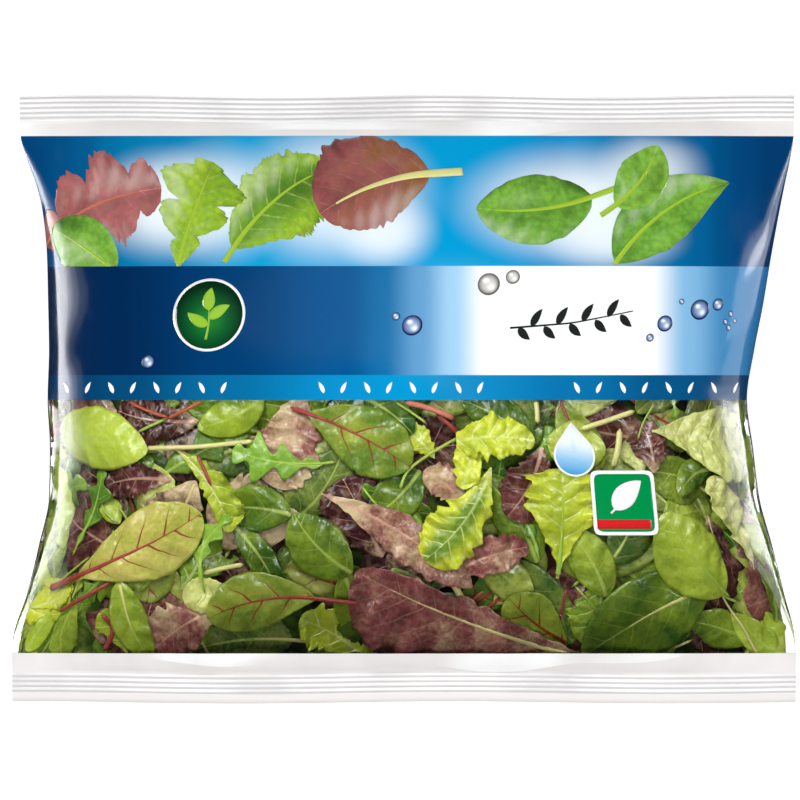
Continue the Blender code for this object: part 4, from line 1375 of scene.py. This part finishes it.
def make_print():
    pieces = Pieces()
    for kind, base, tip, width, bend, tint, lean, changes, layer, petiole, size, colour in PRINTED_LEAVES:
        form = FORMS[kind] | changes
        line = print_blade(pieces, kind, base, tip, width, bend, form, layer, tint=tint, lean=lean, kind=kind)
        run = np.linspace(-petiole / 1000, 0.85 * line.length, 40)
        girth, y = line.along(run)
        wide, shown = size * (1.15 - run / line.length).clip(0.12, 1.2), (y > PANEL_LOW) & (y < PANEL_TOP)
        print_ribbon(pieces, girth[shown], y[shown], wide[shown], colour, layer + 1)
    clear_beads = water_drop((254, 254, 252), (206, 204, 200), (96, 92, 88))
    blue_beads = water_drop((240, 246, 252), (126, 152, 194), (14, 26, 84))
    for place, radius in DROPS:
        clear = 25 < place[0] < 60
        print_patch(pieces, place, radius, 0, clear_beads if clear else blue_beads, cells=16)
    print_badges(pieces)
    print_sprig(pieces)
    print_stripe(pieces)
    for name, mesh in pieces.meshes.items():
        if name == "printed_marks":
            piece = finish_piece(mesh, name, ink_material())
        else:
            for level, outward in ((PANEL_LOW, -1), (PANEL_TOP, 1)):
                everything = [*mesh.verts, *mesh.edges, *mesh.faces]
                bmesh.ops.bisect_plane(mesh, geom=everything, plane_co=(0, level, 0),
                                       plane_no=(0, outward, 0), clear_outer=True)
            piece = finish_piece(mesh, "printed_" + name + "_leaves", leaf_material(name, True))
        thicken(piece, INK_THICKNESS)


make_print()

# ---------------------------------------------------------------- floor, lights and camera

VIEW_WIDTH = 0.2781
CAMERA_DISTANCE = 4.0
CAMERA_X, CAMERA_Y = -0.0014, -0.0003
# Strips that gleam down both sides of the film: (name, azimuths, elevations, radiance)
GLEAMS = (("left_low", (182.5, 202), (-40, -20), 8), ("left_bright", (165, 202), (-20, 1), 8),
          ("left_inner", (165, 202), (-20, 6), 4), ("left_soft", (165, 202), (-20, 12), 2.5),
          ("left_wide", (165, 202), (-20, 20), 1.2), ("right_bright", (2.5, 17), (-23, 8), 12),
          ("right_wide", (-5, 17), (-23, 16), 4), ("right_soft", (-25, -5), (-17, 8), 2.6))


def make_floor():
    """A white table, lit a little from below, that the bag's gloss doesn't mirror."""
    mesh = bmesh.new()
    bmesh.ops.create_grid(mesh, x_segments=1, y_segments=1, size=6)
    for vertex in mesh.verts:
        vertex.co.z = -0.0004
    finish = Finish("floor_white")
    white = finish.node("BsdfPrincipled", {
        "Base Color": (0.9, 0.9, 0.9, 1), "Roughness": 0.9, "Specular IOR Level": 0.0,
        "Emission Color": (1, 1, 1, 1), "Emission Strength": 0.65}).outputs[0]
    floor = put_mesh("floor", mesh, finish.done(white))
    floor.visible_glossy = False


def add_lamp(name, azimuth, elevation, distance, size, radiance, shines="both", pieces=()):
    """A soft box that faces the bag. Azimuth 0 is +X and 90 is +Y. Some only light or only gleam, and some
    are screened off from all but a few pieces, which alone shade their light."""
    data = bpy.data.lights.new(name, "AREA")
    data.shape = "RECTANGLE"
    data.size, data.size_y = size
    data.energy = radiance * math.pi * size[0] * size[1]
    lamp = put(name, data)
    turn, lift = math.radians(azimuth), math.radians(elevation)
    lamp.location = (distance * math.cos(lift) * math.cos(turn), distance * math.cos(lift) * math.sin(turn),
                     distance * math.sin(lift) + 0.03)
    lamp.rotation_euler = (math.pi / 2 - lift, 0, turn + math.pi / 2)
    lamp.visible_camera = False
    lamp.visible_glossy = shines != "light"
    lamp.visible_diffuse = lamp.visible_transmission = shines != "gleam"
    if pieces:
        lit = bpy.data.collections.new(name + "_falls_on")
        for piece in pieces:
            lit.objects.link(piece)
        lamp.light_linking.receiver_collection = lit
        lamp.light_linking.blocker_collection = lit


def make_light():
    world = bpy.data.worlds.new("studio")
    world.use_nodes = True
    nodes, links = world.node_tree.nodes, world.node_tree.links
    background = nodes["Background"]
    background.inputs["Color"].default_value = (1, 1, 1, 1)
    seen = nodes.new("ShaderNodeLightPath").outputs["Is Glossy Ray"]
    strength = nodes.new("ShaderNodeMapRange")
    strength.inputs["To Min"].default_value = 0.18
    strength.inputs["To Max"].default_value = 0.02
    links.new(seen, strength.inputs["Value"])
    links.new(strength.outputs["Result"], background.inputs["Strength"])
    bpy.context.scene.world = world
    leaves = [piece for piece in bpy.data.objects if piece.name.endswith("_leaves") or piece.name == "stalks"]
    leaves = [piece for piece in leaves if not piece.name.startswith("printed")]
    film = [piece for piece in bpy.data.objects if piece.name == "film" or piece.name.startswith("printed")]
    add_lamp("key", 100, 70, 1.6, (1.0, 0.7), 7.3, "light")
    add_lamp("fill", 280, 50, 1.6, (1.1, 0.8), 2.3, "light")
    add_lamp("film_key", 95, 66, 1.6, (1.0, 0.7), 1.5, "light", film)
    add_lamp("film_fill", 275, 44, 1.6, (1.0, 0.7), 2.6, "light", film)
    add_lamp("leaf_key", 118, 48, 1.5, (0.36, 0.26), 48, "both", leaves)
    add_lamp("leaf_gleam", 20, 55, 1.5, (0.3, 0.2), 56, "gleam", leaves)
    add_lamp("leaf_gleam_left", 165, 62, 1.5, (0.3, 0.2), 50, "gleam", leaves)
    for name, turns, lifts, radiance in GLEAMS:
        turn, lift = ((low + high) / 2 for low, high in (turns, lifts))
        size = [2 * math.tan(math.radians(high - low) / 2) for low, high in (turns, lifts)]
        width = size[0] * math.cos(math.radians(lift))
        add_lamp(name, turn, lift, 1.0, (width, size[1]), radiance, "gleam", film)


def make_camera():
    data = bpy.data.cameras.new("camera")
    camera = put("camera", data)
    camera.location = (CAMERA_X, CAMERA_Y, CAMERA_DISTANCE + EQUATOR)
    data.sensor_width = 36
    data.lens = 36 * CAMERA_DISTANCE / VIEW_WIDTH
    data.clip_end = 50
    bpy.context.scene.camera = camera


make_floor()
make_light()
make_camera()
bpy.context.scene.view_settings.view_transform = "Standard"
